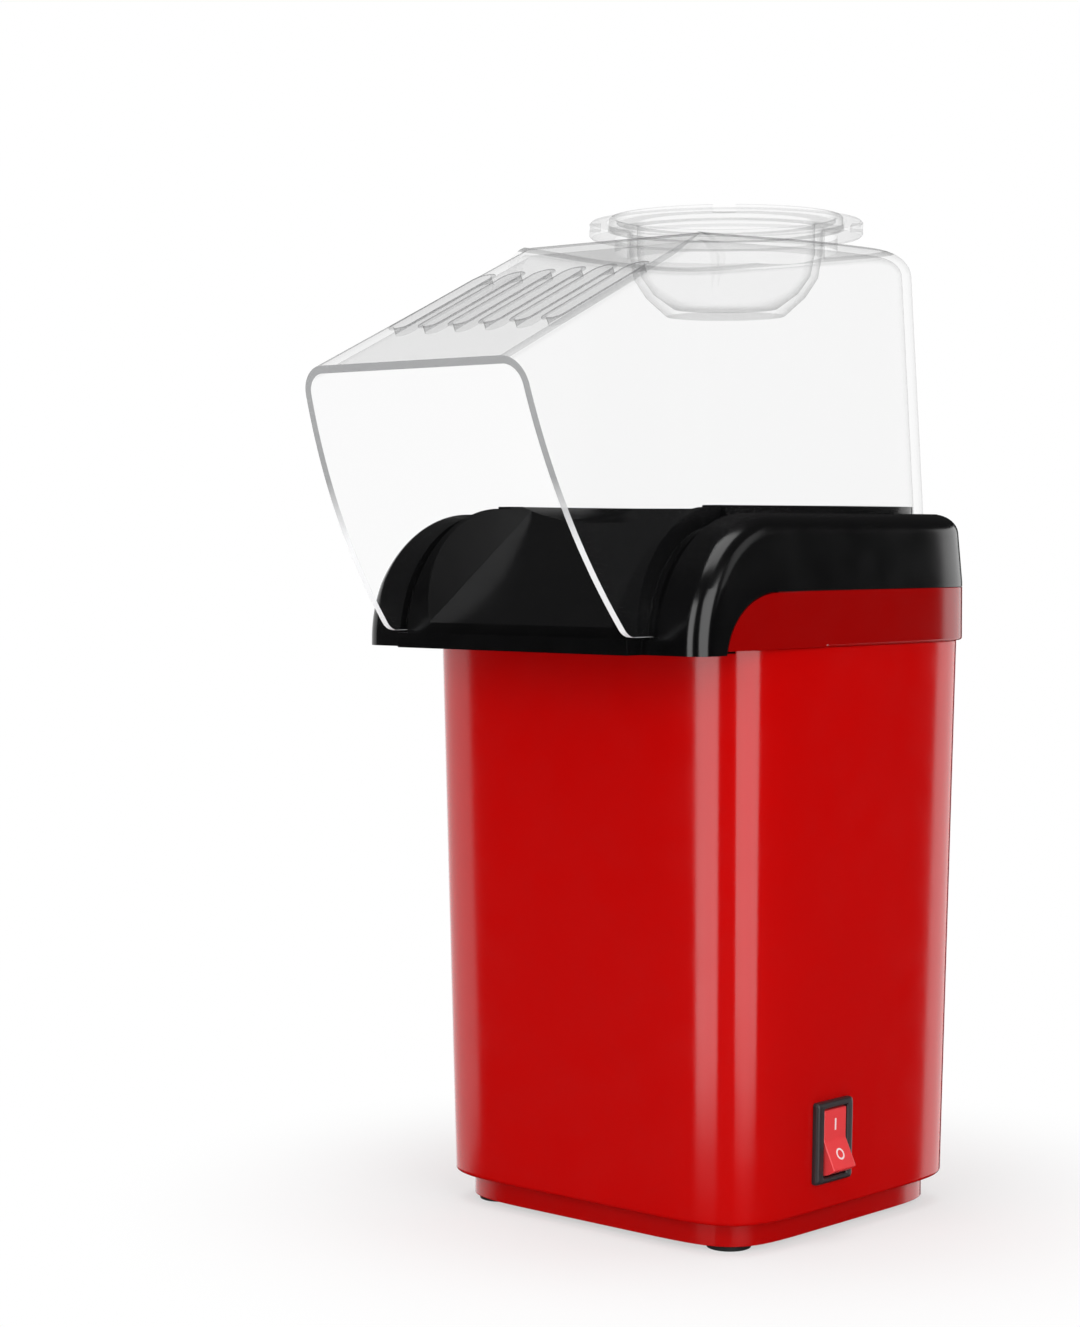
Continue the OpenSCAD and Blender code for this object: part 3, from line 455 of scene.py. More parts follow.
def material(name, color, roughness, grain=0.04, grain_size=2.0, bump=0.02, bump_size=0.25,
             stretch=(1, 1, 1), **sockets):
    """Procedural surface: its colour and roughness vary with two noises, and a fine noise bumps it.

    grain is the share by which the colour varies, and the sizes are in millimetres."""
    mat = bpy.data.materials.new(name)
    mat.use_nodes = True
    tree = mat.node_tree
    shader = tree.nodes["Principled BSDF"]
    place, mapping, ramp, relief = add_nodes(tree, "TexCoord", "Mapping", "ValToRGB", "Bump")
    mapping.inputs["Scale"].default_value = stretch
    tree.links.new(place.outputs["Object"], mapping.inputs["Vector"])

    def noise(size, detail):
        node = tree.nodes.new("ShaderNodeTexNoise")
        set_inputs(node, {"Scale": 1 / (size * MM), "Detail": detail})
        tree.links.new(mapping.outputs["Vector"], node.inputs["Vector"])
        return node.outputs["Fac"]

    stops = ramp.color_ramp.elements
    for stop, position, share in zip(stops, (NOISE_LOW, NOISE_HIGH), (1 - grain, 1 + grain)):
        stop.color = [min(1.0, c * share) for c in color] + [1]
        stop.position = position
    tree.links.new(noise(grain_size * CLOUD_SHARE, 3), ramp.inputs["Fac"])
    tree.links.new(ramp.outputs["Color"], shader.inputs["Base Color"])
    spread = map_range(
        tree, noise(grain_size, 1), NOISE_LOW, NOISE_HIGH, roughness * 0.9, roughness * 1.1)
    tree.links.new(spread, shader.inputs["Roughness"])
    set_inputs(relief, {"Strength": bump, "Distance": BUMP_DEPTH * MM})
    tree.links.new(noise(bump_size, 2), relief.inputs["Height"])
    tree.links.new(relief.outputs["Normal"], shader.inputs["Normal"])
    set_inputs(shader, {key.replace("_", " "): value for key, value in sockets.items()})
    return mat


def metal(name, color, roughness, **more):
    return material(name, color, roughness, Metallic=1.0, **more)


TURN_LOW = 0.55  # the Facing value from which a clear sheet gets more opaque


def clear(name, color, roughness, face_on, edge_on, specular):
    """See-through plastic sheet. Its opacity rises from face_on to edge_on where it turns away."""
    even = dict(grain=0.03, grain_size=9.0, bump=0.2, bump_size=9.0)
    mat = material(name, color, roughness, **even, Specular_IOR_Level=specular)
    tree = mat.node_tree
    turn, = add_nodes(tree, "LayerWeight")
    turn.inputs["Blend"].default_value = 0.5
    opacity = map_range(tree, turn.outputs["Facing"], TURN_LOW, 1.0, face_on, edge_on)
    tree.links.new(opacity, tree.nodes["Principled BSDF"].inputs["Alpha"])
    return mat


def paint_highlight_below(mat, low, high):
    """Paints the colour white from high down to low: painted light that stands in for light bent
    through the clear rim where the dark shell is behind.
    """
    tree = mat.node_tree
    shader = tree.nodes["Principled BSDF"]
    place, split, mix = add_nodes(tree, "TexCoord", "SeparateXYZ", "MixRGB")
    tree.links.new(place.outputs["Object"], split.inputs["Vector"])
    share = map_range(tree, split.outputs["Z"], low * MM, high * MM, 1.0, 0.0)
    tree.links.new(share, mix.inputs["Fac"])
    tree.links.new(shader.inputs["Base Color"].links[0].from_socket, mix.inputs["Color1"])
    mix.inputs["Color2"].default_value = (0.92, 0.93, 0.94, 1)
    tree.links.new(mix.outputs["Color"], shader.inputs["Base Color"])


# Moulded plastic outside
GLOSS = dict(grain_size=9.0, bump=0.25, bump_size=7.0)
RED = material("red_plastic", (0.46, 0.0008, 0.0006), 0.14, grain=0.03, **GLOSS)
BAND_RED = material("band_red_plastic", (0.26, 0.0006, 0.0004), 0.14, grain=0.03, **GLOSS)
PLINTH_RED = material("plinth_red_plastic", (0.42, 0.0008, 0.0006), 0.16, grain=0.05, **GLOSS)
BLACK = material("black_plastic", (0.0015, 0.0015, 0.0017), 0.19, grain=0.15, **GLOSS)

# Clear plastic: colour, roughness, opacity face on and edge on, and specular level
CLEAR = clear("clear_plastic", (0.09, 0.092, 0.094), 0.05, 0.022, 0.2, 0.4)
CLEAR_CUP = clear("clear_cup_plastic", (0.2, 0.203, 0.206), 0.05, 0.02, 0.3, 0.4)
# The rim's near-opaque grey is painted light. It stands in for light bent through the clear rim,
# which looks grey against the white backdrop.
CLEAR_RIM = clear("clear_plastic_rim_painted_light", (0.3, 0.305, 0.31), 0.4, 0.9, 0.95, 0.3)
# The edge material is painted shade: a darker, more opaque grey that stands in for the dark lines
# where light bends at the hood's bends, slot walls and rounded edges.
CLEAR_EDGE_SHADE = clear("clear_plastic_edge_painted_shade", (0.12, 0.123, 0.126), 0.4, 0.25, 0.6, 0.3)
# Painted highlight: the rim turns white below the shell's top, where the dark shell is behind.
paint_highlight_below(CLEAR_RIM, SHELL_TOP - 8, SHELL_TOP + 8)

# Switch and feet
RUBBER = material("foot_rubber", (0.012, 0.012, 0.012), 0.75, grain=0.25, bump=0.35)
NYLON = material("switch_nylon", (0.022, 0.017, 0.019), 0.38, grain=0.2, bump=0.25, bump_size=0.12)
ROCKER = material(
    "rocker_red", (0.72, 0.045, 0.05), 0.22, grain=0.04, Coat_Weight=0.4, Coat_Roughness=0.1)
MARK = material("mark_white", (0.8, 0.66, 0.66), 0.5, grain=0.02, bump=0.1)

# Works inside
STEEL = metal("screw_steel", (0.56, 0.56, 0.58), 0.32, grain=0.1, grain_size=0.3, bump=0.2)
SHEET = metal(
    "sheet_steel", (0.55, 0.56, 0.57), 0.38,
    grain=0.14, grain_size=0.8, bump=0.15, stretch=(1, 1, 0.1))
ALUMINIUM = metal(
    "drawn_aluminium", (0.78, 0.78, 0.79), 0.3,
    grain=0.06, bump=0.25, bump_size=0.4, stretch=(1, 1, 0.06))
BRASS = metal("brass", (0.72, 0.5, 0.2), 0.3, grain=0.12, bump=0.2)
WIRE = metal("resistance_wire", (0.2, 0.18, 0.17), 0.45, grain=0.3, grain_size=0.4, bump=0.3)
SILICONE = material("ivory_silicone", (0.7, 0.67, 0.58), 0.6, grain=0.05, bump=0.2)
PHENOLIC = material(
    "phenolic_board", (0.12, 0.045, 0.018), 0.5,
    grain=0.3, grain_size=0.4, bump=0.4, stretch=(0.2, 1, 1))
MICA = material(
    "mica_sheet", (0.5, 0.38, 0.22), 0.4, grain=0.35, grain_size=0.5, bump=0.5, bump_size=0.6)
FAN_NYLON = material("fan_nylon", (0.03, 0.04, 0.04), 0.45, grain=0.2, bump=0.3)
GREY_NYLON = material("grey_nylon", (0.35, 0.36, 0.37), 0.42, grain=0.08, bump=0.3)
BOARD = material("circuit_board", (0.012, 0.09, 0.03), 0.3, grain=0.25, grain_size=0.3, bump=0.3)
EPOXY = material("black_epoxy", (0.015, 0.015, 0.016), 0.35, grain=0.2, bump=0.3)
GUARD = material("guard_phenolic", (0.02, 0.018, 0.016), 0.5, grain=0.25, bump=0.4)


# ---------------------------------------------------------------- body and band
def body_outline(z, inset):
    grow = BODY_DRAFT * (z - BODY_Z) / BODY_H - inset
    return squircle(BODY_HALF_W + grow, BODY_HALF_D + grow)


def rounded_wall(name, outline, z0, z1, wall, r_low, r_high):
    """Upright wall with rounded outer edges. outline(z, inset) gives its plan."""
    levels = 14
    low, high = z0 + r_low, z1 - r_high
    rows = [(wall, z0), (wall / 2, z0)]
    rows += [(r_low - r_low * math.sin(a), low - r_low * math.cos(a)) for a in quarter_turn()]
    rows += [(0, low + (high - low) * i / levels) for i in range(1, levels)]
    rows += [(r_high - r_high * math.cos(a), high + r_high * math.sin(a)) for a in quarter_turn()]
    rows += [(wall / 2, z1), (wall, z1)]
    return loft(name, [ring_at(outline(z, inset), z) for inset, z in rows], looped=True)


def make_body():
    body = rounded_wall("red_body", body_outline, BODY_Z, BAND_Z, WALL, r_low=1.2, r_high=0.4)
    half_w, half_h = HOLE_W / 2, HOLE_H / 2
    combine(body, box("hole", (-HOLE_IN, -half_w, -half_h), (2, half_w, half_h), SWITCH_FRAME))
    bush_hole = circle(BUSH_HOLE_R, 64, (0, BUSH_Z))
    combine(body, prism("bush_hole", bush_hole, BODY_HALF_D - 2 * WALL, BODY_HALF_D + 10, "y"))
    piece(wear(smooth(body), RED), "housing", "red_gloss", "body_shell")


def band_outline(z, inset):
    return squircle(BAND_HALF_W - inset, BAND_HALF_D - inset)


def band_end():
    """Side outline of a straight end of the band, which fills the arch in its skirt."""
    half, top = SKIRT_HALF - GAP, BAND_TOP - GAP
    high = top - SKIRT_Z
    foot_y = -SKIRT_Y - half * math.sqrt(1 - ((BAND_Z - SKIRT_Z) / high) ** 2)
    curve = skirt_curve(half, high, [90 + 3.75 * i for i in range(25)])
    outline = [(foot_y, BAND_Z), (-SKIRT_Y / 2, BAND_Z), (-SKIRT_Y / 2, top)]
    return outline + [(y, z) for y, z in curve if z > BAND_Z]


def make_band():
    band = rounded_wall(
        "red_side_band", band_outline, BAND_Z, BAND_TOP, WALL + BAND_OUT, r_low=0.7, r_high=0.25)
    combine(band, front_box(-BAND_FRONT))
    for side in (-1, 1):
        low, high = sorted((side * (BAND_HALF_W - SKIRT_IN + GAP), side * (BAND_HALF_W - 0.02)))
        combine(band, prism("end", band_end(), low, high, "x"), "UNION")
    weld(band, 0.01)
    soften(band, 0.25, limit=50)
    piece(wear(smooth(band), BAND_RED), "housing", "red_band", "side_band")


# ---------------------------------------------------------------- upper shell
REAR_N, CORNER_N = 96, 12
STEEPEST = 0.985  # sine at which an edge's rounding starts on the highest rings


def shell_ring(z):
    """One ring of the upper shell: its squared back, and its fenders with their rounded edge."""
    h = max(0.0, z - ARCH_Z)
    f0 = math.asin(max(0.0, min(STEEPEST, (h - (ARCH_R - EDGE_R)) / EDGE_R)))
    lean = max(0.0, z - LEAN_Z) * SHELL_LEAN
    w, d = BAND_HALF_W - lean, BAND_HALF_D - lean
    inset = EDGE_R * (1 - math.cos(f0))
    rear = []
    for i in range(REAR_N + 1):
        a = math.pi * i / REAR_N
        back = math.sin(a) if 0 < i < REAR_N else 0.0
        x = (w - inset) * power(math.cos(a), 2 / SQUARE)
        rear.append((x, (d - inset) * back ** (2 / SQUARE), z))
    front = []
    for i in range(CORNER_N + 1):
        f = f0 + (math.pi / 2 - f0) * i / CORNER_N
        reach = ARCH_R - EDGE_R + EDGE_R * math.sin(f)
        y = -ARCH_Y - math.sqrt(max(0.0, reach ** 2 - h ** 2))
        front.append((w - EDGE_R + EDGE_R * math.cos(f), y))
    return rear + [(-x, y, z) for x, y in front] + [(x, y, z) for x, y in reversed(front)]


def shell_form():
    levels = [ARCH_Z + ARCH_R * math.cos(math.radians(a)) for a in range(88, -1, -3)]
    levels = [z for z in levels if abs(z - LEAN_Z) > 0.4] + [SHELL_FLOOR, LEAN_Z, SHELL_TOP]
    return loft("black_upper_shell", [shell_ring(z) for z in sorted(levels)])


def foot_prism(name, inset, z0, z1):
    """The hood's plan at its foot, inset and swept up."""
    return prism(name, [(x, y) for x, y, z in hood_ring(SHELL_TOP, inset)], z0, z1)


def add_inner_walls(shell):
    """Cheeks and lip of the chute, and the wall inside the hood's foot."""
    cheeks = [(-CHEEK_Y - CHEEK_R, SHELL_FLOOR), (-INNER_Y, SHELL_FLOOR)]
    cheeks += [(-INNER_Y, CHEEK_Z + CHEEK_R)] + arc(-CHEEK_Y, CHEEK_Z, CHEEK_R, 90, 180, 30)
    combine(shell, prism("cheeks", cheeks, -GROOVE_IN, GROOVE_IN, "x"), "UNION")
    upstand = foot_prism("upstand", CLEAR_WALL + GAP, DECK_Z, SHELL_TOP + UPSTAND_H)
    combine(upstand, front_box(-CHEEK_Y))
    combine(shell, upstand, "UNION")
    lip = box("lip", (-GROOVE_IN, -LIP_Y, SHELL_FLOOR), (GROOVE_IN, -ARCH_Y, RAMP_Z))
    combine(shell, lip, "UNION")


def cut_rooms(shell):
    """Seats of the body and the band, and room for the works."""
    seat = squircle(TOP_HALF_W + GAP, TOP_HALF_D + GAP)
    combine(shell, prism("seat", seat, SHELL_FLOOR - 5, BAND_Z))
    combine(shell, box("band_seat", (-FAR, -SKIRT_Y, 0), (FAR, FAR, BAND_TOP)))
    band_room = squircle(BAND_HALF_W + GAP, BAND_HALF_D + GAP)
    recess = prism("recess", band_room, BAND_Z - 5, BAND_TOP + 0.05)
    combine(recess, front_box(-BAND_FRONT - GAP))
    combine(shell, recess)
    works = squircle(TOP_HALF_W - SHELL_WALL, TOP_HALF_D - SHELL_WALL)
    room = prism("room", works, SHELL_FLOOR - 5, DECK_Z)
    combine(room, front_box(-UNDER_Y))
    combine(shell, room)


def chute_space():
    low_y, high = -LIP_Y - 2, SHELL_TOP + 12

    def end(y):
        z = RAMP_Z + (y + LIP_Y) * RAMP_TAN
        side = CHUTE_HALF_W + (high - z) * CHUTE_FLARE
        return [(-CHUTE_HALF_W, y, z), (CHUTE_HALF_W, y, z), (side, y, high), (-side, y, high)]

    return loft("chute_space", [end(low_y), end(-INNER_Y)])


def cut_mouth(shell):
    """Mouth over the chamber, its dish, and the chute."""
    combine(shell, prism("mouth", circle(CHAMBER_R), DECK_Z - 60, FAR))
    rise = UPSTAND_H + DISH_H
    low_r = CHAMBER_R + DISH_STEP
    low_ring = ring_at(circle(low_r), RAMP_TOP_Z)
    high_ring = ring_at(circle(low_r + DISH_SLOPE * rise), RAMP_TOP_Z + rise)
    dish = loft("dish", [low_ring, high_ring])
    inside = foot_prism("inside", CLEAR_WALL + GAP + UPSTAND_T, RAMP_TOP_Z - 1, FAR)
    combine(dish, inside, "INTERSECT")
    combine(shell, dish)
    combine(shell, chute_space())


def cut_groove(shell):
    """Groove for the hood's walls: square behind, and along the arch at the sides."""
    channel = foot_prism("channel", -GAP - 0.2, CHANNEL_Z, FAR)
    combine(channel, foot_prism("core", CLEAR_WALL + GAP, CHANNEL_Z - 1, FAR + 1))
    combine(channel, front_box(-GROOVE_Y, 2 * FAR))
    combine(shell, channel)
    front_y, high = -LIP_Y - 10, SHELL_TOP + 20
    side = [(front_y, RAMP_Z), (front_y, high), (-GROOVE_Y, high)]
    side += arc(-GROOVE_Y, GROOVE_Z, GROOVE_R, 90, 176, 30)
    groove = prism("groove", side, -GROOVE_OUT, GROOVE_OUT, "x")
    combine(groove, hood_form("hood_room", CLEAR_WALL + GAP))
    combine(shell, groove)


def cut_skirts(shell):
    """Arch in each skirt, where the band and the body's corner show."""
    low_z = SHELL_FLOOR - 4
    outline = [(-10, BAND_Z), (-10, low_z), (-SKIRT_Y - SKIRT_HALF, low_z)]
    outline += skirt_curve(SKIRT_HALF, BAND_TOP - SKIRT_Z, [180 - 2.2 * i for i in range(41)])
    for side in (-1, 1):
        low, high = sorted((side * (BAND_HALF_W - SKIRT_IN), side * (BAND_HALF_W + SKIRT_IN)))
        combine(shell, prism("skirt_arch", outline, low, high, "x"))


def make_upper_shell():
    shell = shell_form()
    add_inner_walls(shell)
    cut_rooms(shell)
    cut_mouth(shell)
    cut_groove(shell)
    cut_skirts(shell)
    weld(shell, 0.02)
    soften(shell, 0.35, limit=40)
    piece(wear(smooth(shell), BLACK), "housing", "black_gloss", "upper_shell")


# ---------------------------------------------------------------- hood
HOOD_REAR_N, HOOD_SIDE_N, HOOD_CORNER_N = 96, 18, 12
# Faces with these numbers take the rim's painted light and the edges' painted shade.
RIM_FACE, EDGE_FACE = 1, 2  # material numbers
EDGE_STEPS = 3


def ease(share):
    return share * share * (3 - 2 * share)


def hood_ring(z, t):
    """One ring of the hood's block; t insets every face."""
    r, top = HOOD_EDGE_R - max(0.0, t), HOOD_TOP - t
    f0 = math.asin(max(0.0, min(STEEPEST, (z - (top - r)) / r)))
    inset = r * (1 - math.cos(f0)) + t
    front_w = MOUTH_HALF_W - FRONT_LEAN * (z - MOUTH_LOW_Z)
    rear_w = HOOD_HALF_W - REAR_LEAN * (z - SHELL_TOP)
    rear_d = HOOD_HALF_D - REAR_LEAN * (z - SHELL_TOP) - inset - REAR_Y0
    roof_y = -BEND_Y - (HOOD_TOP - max(z, ROOF_LOW)) / ROOF_TAN + t / math.sin(ROOF_A)
    rear = []
    for i in range(HOOD_REAR_N + 1):
        a = math.pi * i / HOOD_REAR_N
        back = math.sin(a) if 0 < i < HOOD_REAR_N else 0.0
        x = (rear_w - inset) * power(math.cos(a), 2 / HOOD_SQUARE)
        rear.append((x, REAR_Y0 + rear_d * back ** (2 / HOOD_SQUARE), z))
    side = []
    for i in range(1, HOOD_SIDE_N):
        share = i / HOOD_SIDE_N
        x = rear_w + (front_w - rear_w) * ease(share) - inset
        side.append((x, REAR_Y0 - (REAR_Y0 + FRONT_Y1) * share))
    for i in range(HOOD_CORNER_N + 1):
        f = f0 + (math.pi / 2 - f0) * i / HOOD_CORNER_N
        y = roof_y + r * (1 - math.sin(f)) / math.sin(ROOF_A)
        side.append((front_w - t - r + r * math.cos(f), y))
    return rear + [(-x, y, z) for x, y in side] + [(x, y, z) for x, y in reversed(side)]


def hood_form(name, t):
    """The hood's block, longer than the hood below; t insets every face."""
    r, top = HOOD_EDGE_R - t, HOOD_TOP - t
    low = MOUTH_LOW_Z - 5
    levels = [low + (ROOF_LOW - low) * i / 8 for i in range(8)]
    levels += [ROOF_LOW + (top - r - ROOF_LOW) * i / 5 for i in range(5)]
    levels += [top - r + r * math.sin(math.radians(a)) for a in range(0, 81, 10)] + [top]
    return loft(name, [hood_ring(z, t) for z in levels])


def paint_edge_shade(hood):
    """Gives the edge material, painted shade for the dark line that light makes at a bend, to the
    rounding's last steps before the roof and the flat top.
    """
    make_slots(hood, EDGE_FACE)
    count = len(hood_ring(HOOD_TOP, 0))
    last_ring = len(hood.data.vertices) // count - 1
    roof_start = HOOD_REAR_N + HOOD_SIDE_N + HOOD_CORNER_N
    for face in hood.data.polygons:
        if len(face.vertices) > 4:
            continue
        along = [v % count for v in face.vertices]
        steps_off = max(roof_start - min(along), max(along) - roof_start - 1)
        on_top_edge = min(face.vertices) // count >= last_ring - EDGE_STEPS
        if 0 < steps_off <= EDGE_STEPS or on_top_edge:
            face.material_index = EDGE_FACE


def hood_profile():
    """Side profile that trims the hood to its mouth and its foot."""
    rim_y = -MOUTH_Y + RIM_R * math.cos(RIM_TOP_A)
    rim_z = MOUTH_Z + RIM_R * math.sin(RIM_TOP_A)
    fillet_z = MOUTH_LOW_Z + MOUTH_FILLET
    fillet_y = rim_y - math.sqrt((RIM_R - MOUTH_FILLET) ** 2 - (rim_z - fillet_z) ** 2)
    turn = 180 + math.degrees(math.atan2(rim_z - fillet_z, rim_y - fillet_y))
    foot_r = GROOVE_R + GAP
    foot_a = 180 - math.degrees(math.asin((MOUTH_LOW_Z - GROOVE_Z) / foot_r))
    outline = [(FAR, CHANNEL_Z), (FAR, 2 * FAR), (-FAR, 2 * FAR)]
    outline += arc(rim_y, rim_z, RIM_R, 184, turn, 40)
    outline += arc(fillet_y, fillet_z, MOUTH_FILLET, turn + 6, 270, 12)
    return outline + arc(-GROOVE_Y, GROOVE_Z, foot_r, foot_a, 90, 30)


def slot_tool(i, grow=0.0, low=-2 * CLEAR_WALL, high=2 * CLEAR_WALL):
    """Round-ended cutter for a steam slot, square to the roof. A grown one makes the slot's lip."""
    middle_y = (MOUTH_Y + BEND_Y) / 2 - 1
    middle_z = MOUTH_Z + (MOUTH_Y - middle_y) * ROOF_TAN
    half, r = SLOT_L / 2 - SLOT_W / 2, SLOT_W / 2 + grow
    outline = [(x, y + half) for x, y in arc(0, 0, r, 0, 180, 16)]
    outline += [(x, y - half) for x, y in arc(0, 0, r, 180, 360, 16)]
    place = Matrix.Translation(((i - (SLOT_N - 1) / 2) * SLOT_PITCH, -middle_y, middle_z))
    return prism("slot", outline, low, high, matrix=place @ Matrix.Rotation(ROOF_A, 4, "X"))


def about_cup(angle):
    """Frame on the cup's axis, turned by angle degrees."""
    return Matrix.Translation((0, CUP_Y, 0)) @ Matrix.Rotation(math.radians(angle), 4, "Z")


def add_seat(hood):
    """Ring that the cup rests in, with its lug slots, and the hole for the cup's bowl."""
    inner_r, low_z = CUP_RIM_R + GAP, HOOD_TOP - 0.9
    corner, inner_corner = 0.6, 0.5
    seat = lathe("seat", [
        (CUP_HOLE_R, low_z), (NECK_R, low_z), (NECK_R, SEAT_Z),
        (SEAT_R - corner, SEAT_Z), (SEAT_R, SEAT_Z + corner),
        (SEAT_R, SEAT_TOP - corner), (SEAT_R - corner, SEAT_TOP),
        (inner_r + inner_corner, SEAT_TOP), (inner_r, SEAT_TOP - inner_corner),
        (inner_r, CUP_REST), (CUP_HOLE_R, CUP_REST),
    ], (0, CUP_Y))
    combine(hood, seat, "UNION")
    hole = circle(CUP_HOLE_R, centre=(0, CUP_Y))
    combine(hood, prism("hole", hole, HOOD_TOP - 6, HOOD_TOP + 1))
    for angle in LUG_AT:
        low, high = (SEAT_R - LUG_IN, -LUG_HALF_W, LUG_Z), (SEAT_R + 1, LUG_HALF_W, LUG_Z + LUG_H)
        combine(hood, box("lug_slot", low, high, about_cup(angle)))


def make_hood():
    hood = hood_form("clear_hood", 0)
    paint_edge_shade(hood)
    combine(hood, hood_form("inside", CLEAR_WALL))
    combine(hood, prism("trim", hood_profile(), -FAR / 3, FAR / 3, "x"), "INTERSECT", RIM_FACE)
    add_seat(hood)
    # The slots' lips and walls take the painted edge shade, for their dark outlines.
    for i in range(SLOT_N):
        combine(hood, slot_tool(i, SLOT_LIP_W, -CLEAR_WALL / 2, SLOT_LIP_RISE), "UNION", EDGE_FACE)
        combine(hood, slot_tool(i), material=EDGE_FACE)
    weld(hood, 0.02)
    for face in hood.data.polygons:
        if face.material_index == RIM_FACE and face.center.y / MM - AXIS_Y > -FOOT_FRONT:
            face.material_index = 0
    # The rounded edges take the painted edge shade too.
    soften(hood, 0.4, limit=40, material=EDGE_FACE)
    wear(smooth(hood), CLEAR, CLEAR_RIM, CLEAR_EDGE_SHADE)
    piece(hood, "hood", "clear_plastic", "hood")


# ---------------------------------------------------------------- measuring cup
def cup_side(t):
    """Side of the bowl from its floor up; t insets it."""
    return [
        (BOWL_FLOOR_R - t, BOWL_Z + t), (BOWL_R - 4.5 - t, BOWL_Z + 5 + t / 2),
        (BOWL_R - 1.2 - t, BOWL_Z + 10 + t / 3), (BOWL_R - t, HOOD_TOP),
    ]


def make_cup():
    t, rim_in, centre_r = CLEAR_WALL, CUP_RIM_R - CUP_RIM_W, 0.01
    low_corner, top_corner = 0.4, 0.5
    profile = [(centre_r, BOWL_Z)] + cup_side(0) + [
        (BOWL_R, CUP_REST), (CUP_RIM_R - low_corner, CUP_REST), (CUP_RIM_R, CUP_REST + low_corner),
        (CUP_RIM_R, CUP_TOP - top_corner), (CUP_RIM_R - top_corner, CUP_TOP),
        (rim_in + top_corner, CUP_TOP), (rim_in, CUP_TOP - top_corner),
        (rim_in, CUP_REST + t), (BOWL_R - t, CUP_REST + t),
    ] + cup_side(t)[::-1] + [(centre_r, BOWL_Z + t)]
    cup = lathe("clear_measuring_cup", profile, (0, CUP_Y))
    low = (CUP_RIM_R - 3, -NOTCH_HALF_W, CUP_TOP - NOTCH_DEPTH)
    high = (CUP_RIM_R + 3, NOTCH_HALF_W, CUP_TOP + 2)
    combine(cup, box("notch", low, high, about_cup(NOTCH_AT)))
    soften(cup, 0.3, limit=40)
    piece(wear(smooth(cup, 40), CLEAR_CUP), "cup", "clear_plastic", "measuring_cup")


# ---------------------------------------------------------------- switch
def make_switch():
    half_w, half_h = BEZEL_W / 2, BEZEL_H / 2
    fit_w, fit_h = HOLE_W / 2 - HOUSING_FIT, HOLE_H / 2 - HOUSING_FIT
    open_w, open_h = ROCKER_HALF_W + ROCKER_GAP, ROCKER_R + ROCKER_GAP
    back = PIVOT_X - ROCKER_BACK - ROCKER_ROOM
    foot, chamfer = 0.04, 0.3
    hole_corner, bezel_corner, open_corner = 0.3, 0.8, 0.5
    edge = [(0, foot), (0, BEZEL_T - 0.9), (0.15, BEZEL_T - 0.45), (0.5, BEZEL_T - 0.1)]
    edge += [(0.9, BEZEL_T)]
    # half width, half height, corner radius and x of each ring
    rows = [(open_w, open_h, hole_corner, back), (fit_w, fit_h, hole_corner, back)]
    rows += [(fit_w, fit_h, hole_corner, foot)]
    rows += [(half_w - inset, half_h - inset, bezel_corner, x) for inset, x in edge]
    rows += [(open_w + chamfer, open_h + chamfer, open_corner, BEZEL_T)]
    rows += [(open_w, open_h, hole_corner, BEZEL_T - chamfer)]
    rings = [[(x, y, z) for y, z in rounded_rectangle(w, h, r)] for w, h, r, x in rows]
    bezel = loft("switch_bezel", rings, looped=True, matrix=SWITCH_FRAME)
    inner = box("switch_housing", (-HOUSING_IN, -fit_w, -fit_h), (back, fit_w, fit_h), SWITCH_FRAME)
    soften(inner, 0.3)
    combine(bezel, inner, "UNION")
    piece(wear(smooth(bezel), NYLON), "housing", "switch_black", "switch_body")


def make_rocker(place):
    tip = math.degrees(math.atan2(TIP_Z, TIP_X))
    back = math.degrees(math.asin(-ROCKER_BACK / ROCKER_R))
    high = arc(0, 0, ROCKER_R, tip, 90 - back, 8)
    outline = high + [(x, -z) for x, z in reversed(high)]
    outline += [(DIP_X + 0.12, -0.5), (DIP_X, 0), (DIP_X + 0.12, 0.5)]
    rocker = prism("red_rocker", outline, -ROCKER_HALF_W, ROCKER_HALF_W, "y", matrix=place)
    soften(rocker, 0.25, segments=3, limit=30)
    reach = ROCKER_HALF_W + 1
    combine(rocker, prism("pin", circle(PIN_R, 32), -reach, reach, "y", matrix=place), "UNION")
    piece(wear(smooth(rocker), ROCKER), "rocker", "rocker_red", "switch_rocker")


def make_marks(place):
    """On and off marks, as thin prints on the rocker's two faces."""
    tilt = math.atan2(TIP_X - DIP_X, TIP_Z)

    def face(side):
        middle = Matrix.Translation(((DIP_X + TIP_X) / 2 + 0.02, 0, side * TIP_Z / 2))
        return place @ middle @ Matrix.Rotation(side * tilt, 4, "Y")

    bar = rounded_rectangle(BAR_HALF_W, MARK_HALF_H, 0.1, 3)
    mark_on = prism("mark_on", bar, PRINT_LOW, PRINT_HIGH, "x", matrix=face(1))
    ring = [(RING_IN, PRINT_LOW), (MARK_HALF_H, PRINT_LOW)]
    ring += [(MARK_HALF_H, PRINT_HIGH), (RING_IN, PRINT_HIGH)]
    upright = Matrix.Rotation(math.pi / 2, 4, "Y")
    mark_off = lathe("mark_off", ring, steps=40, matrix=face(-1) @ upright)
    for mark in (mark_on, mark_off):
        piece(wear(smooth(mark), MARK), "rocker", "rocker_red")


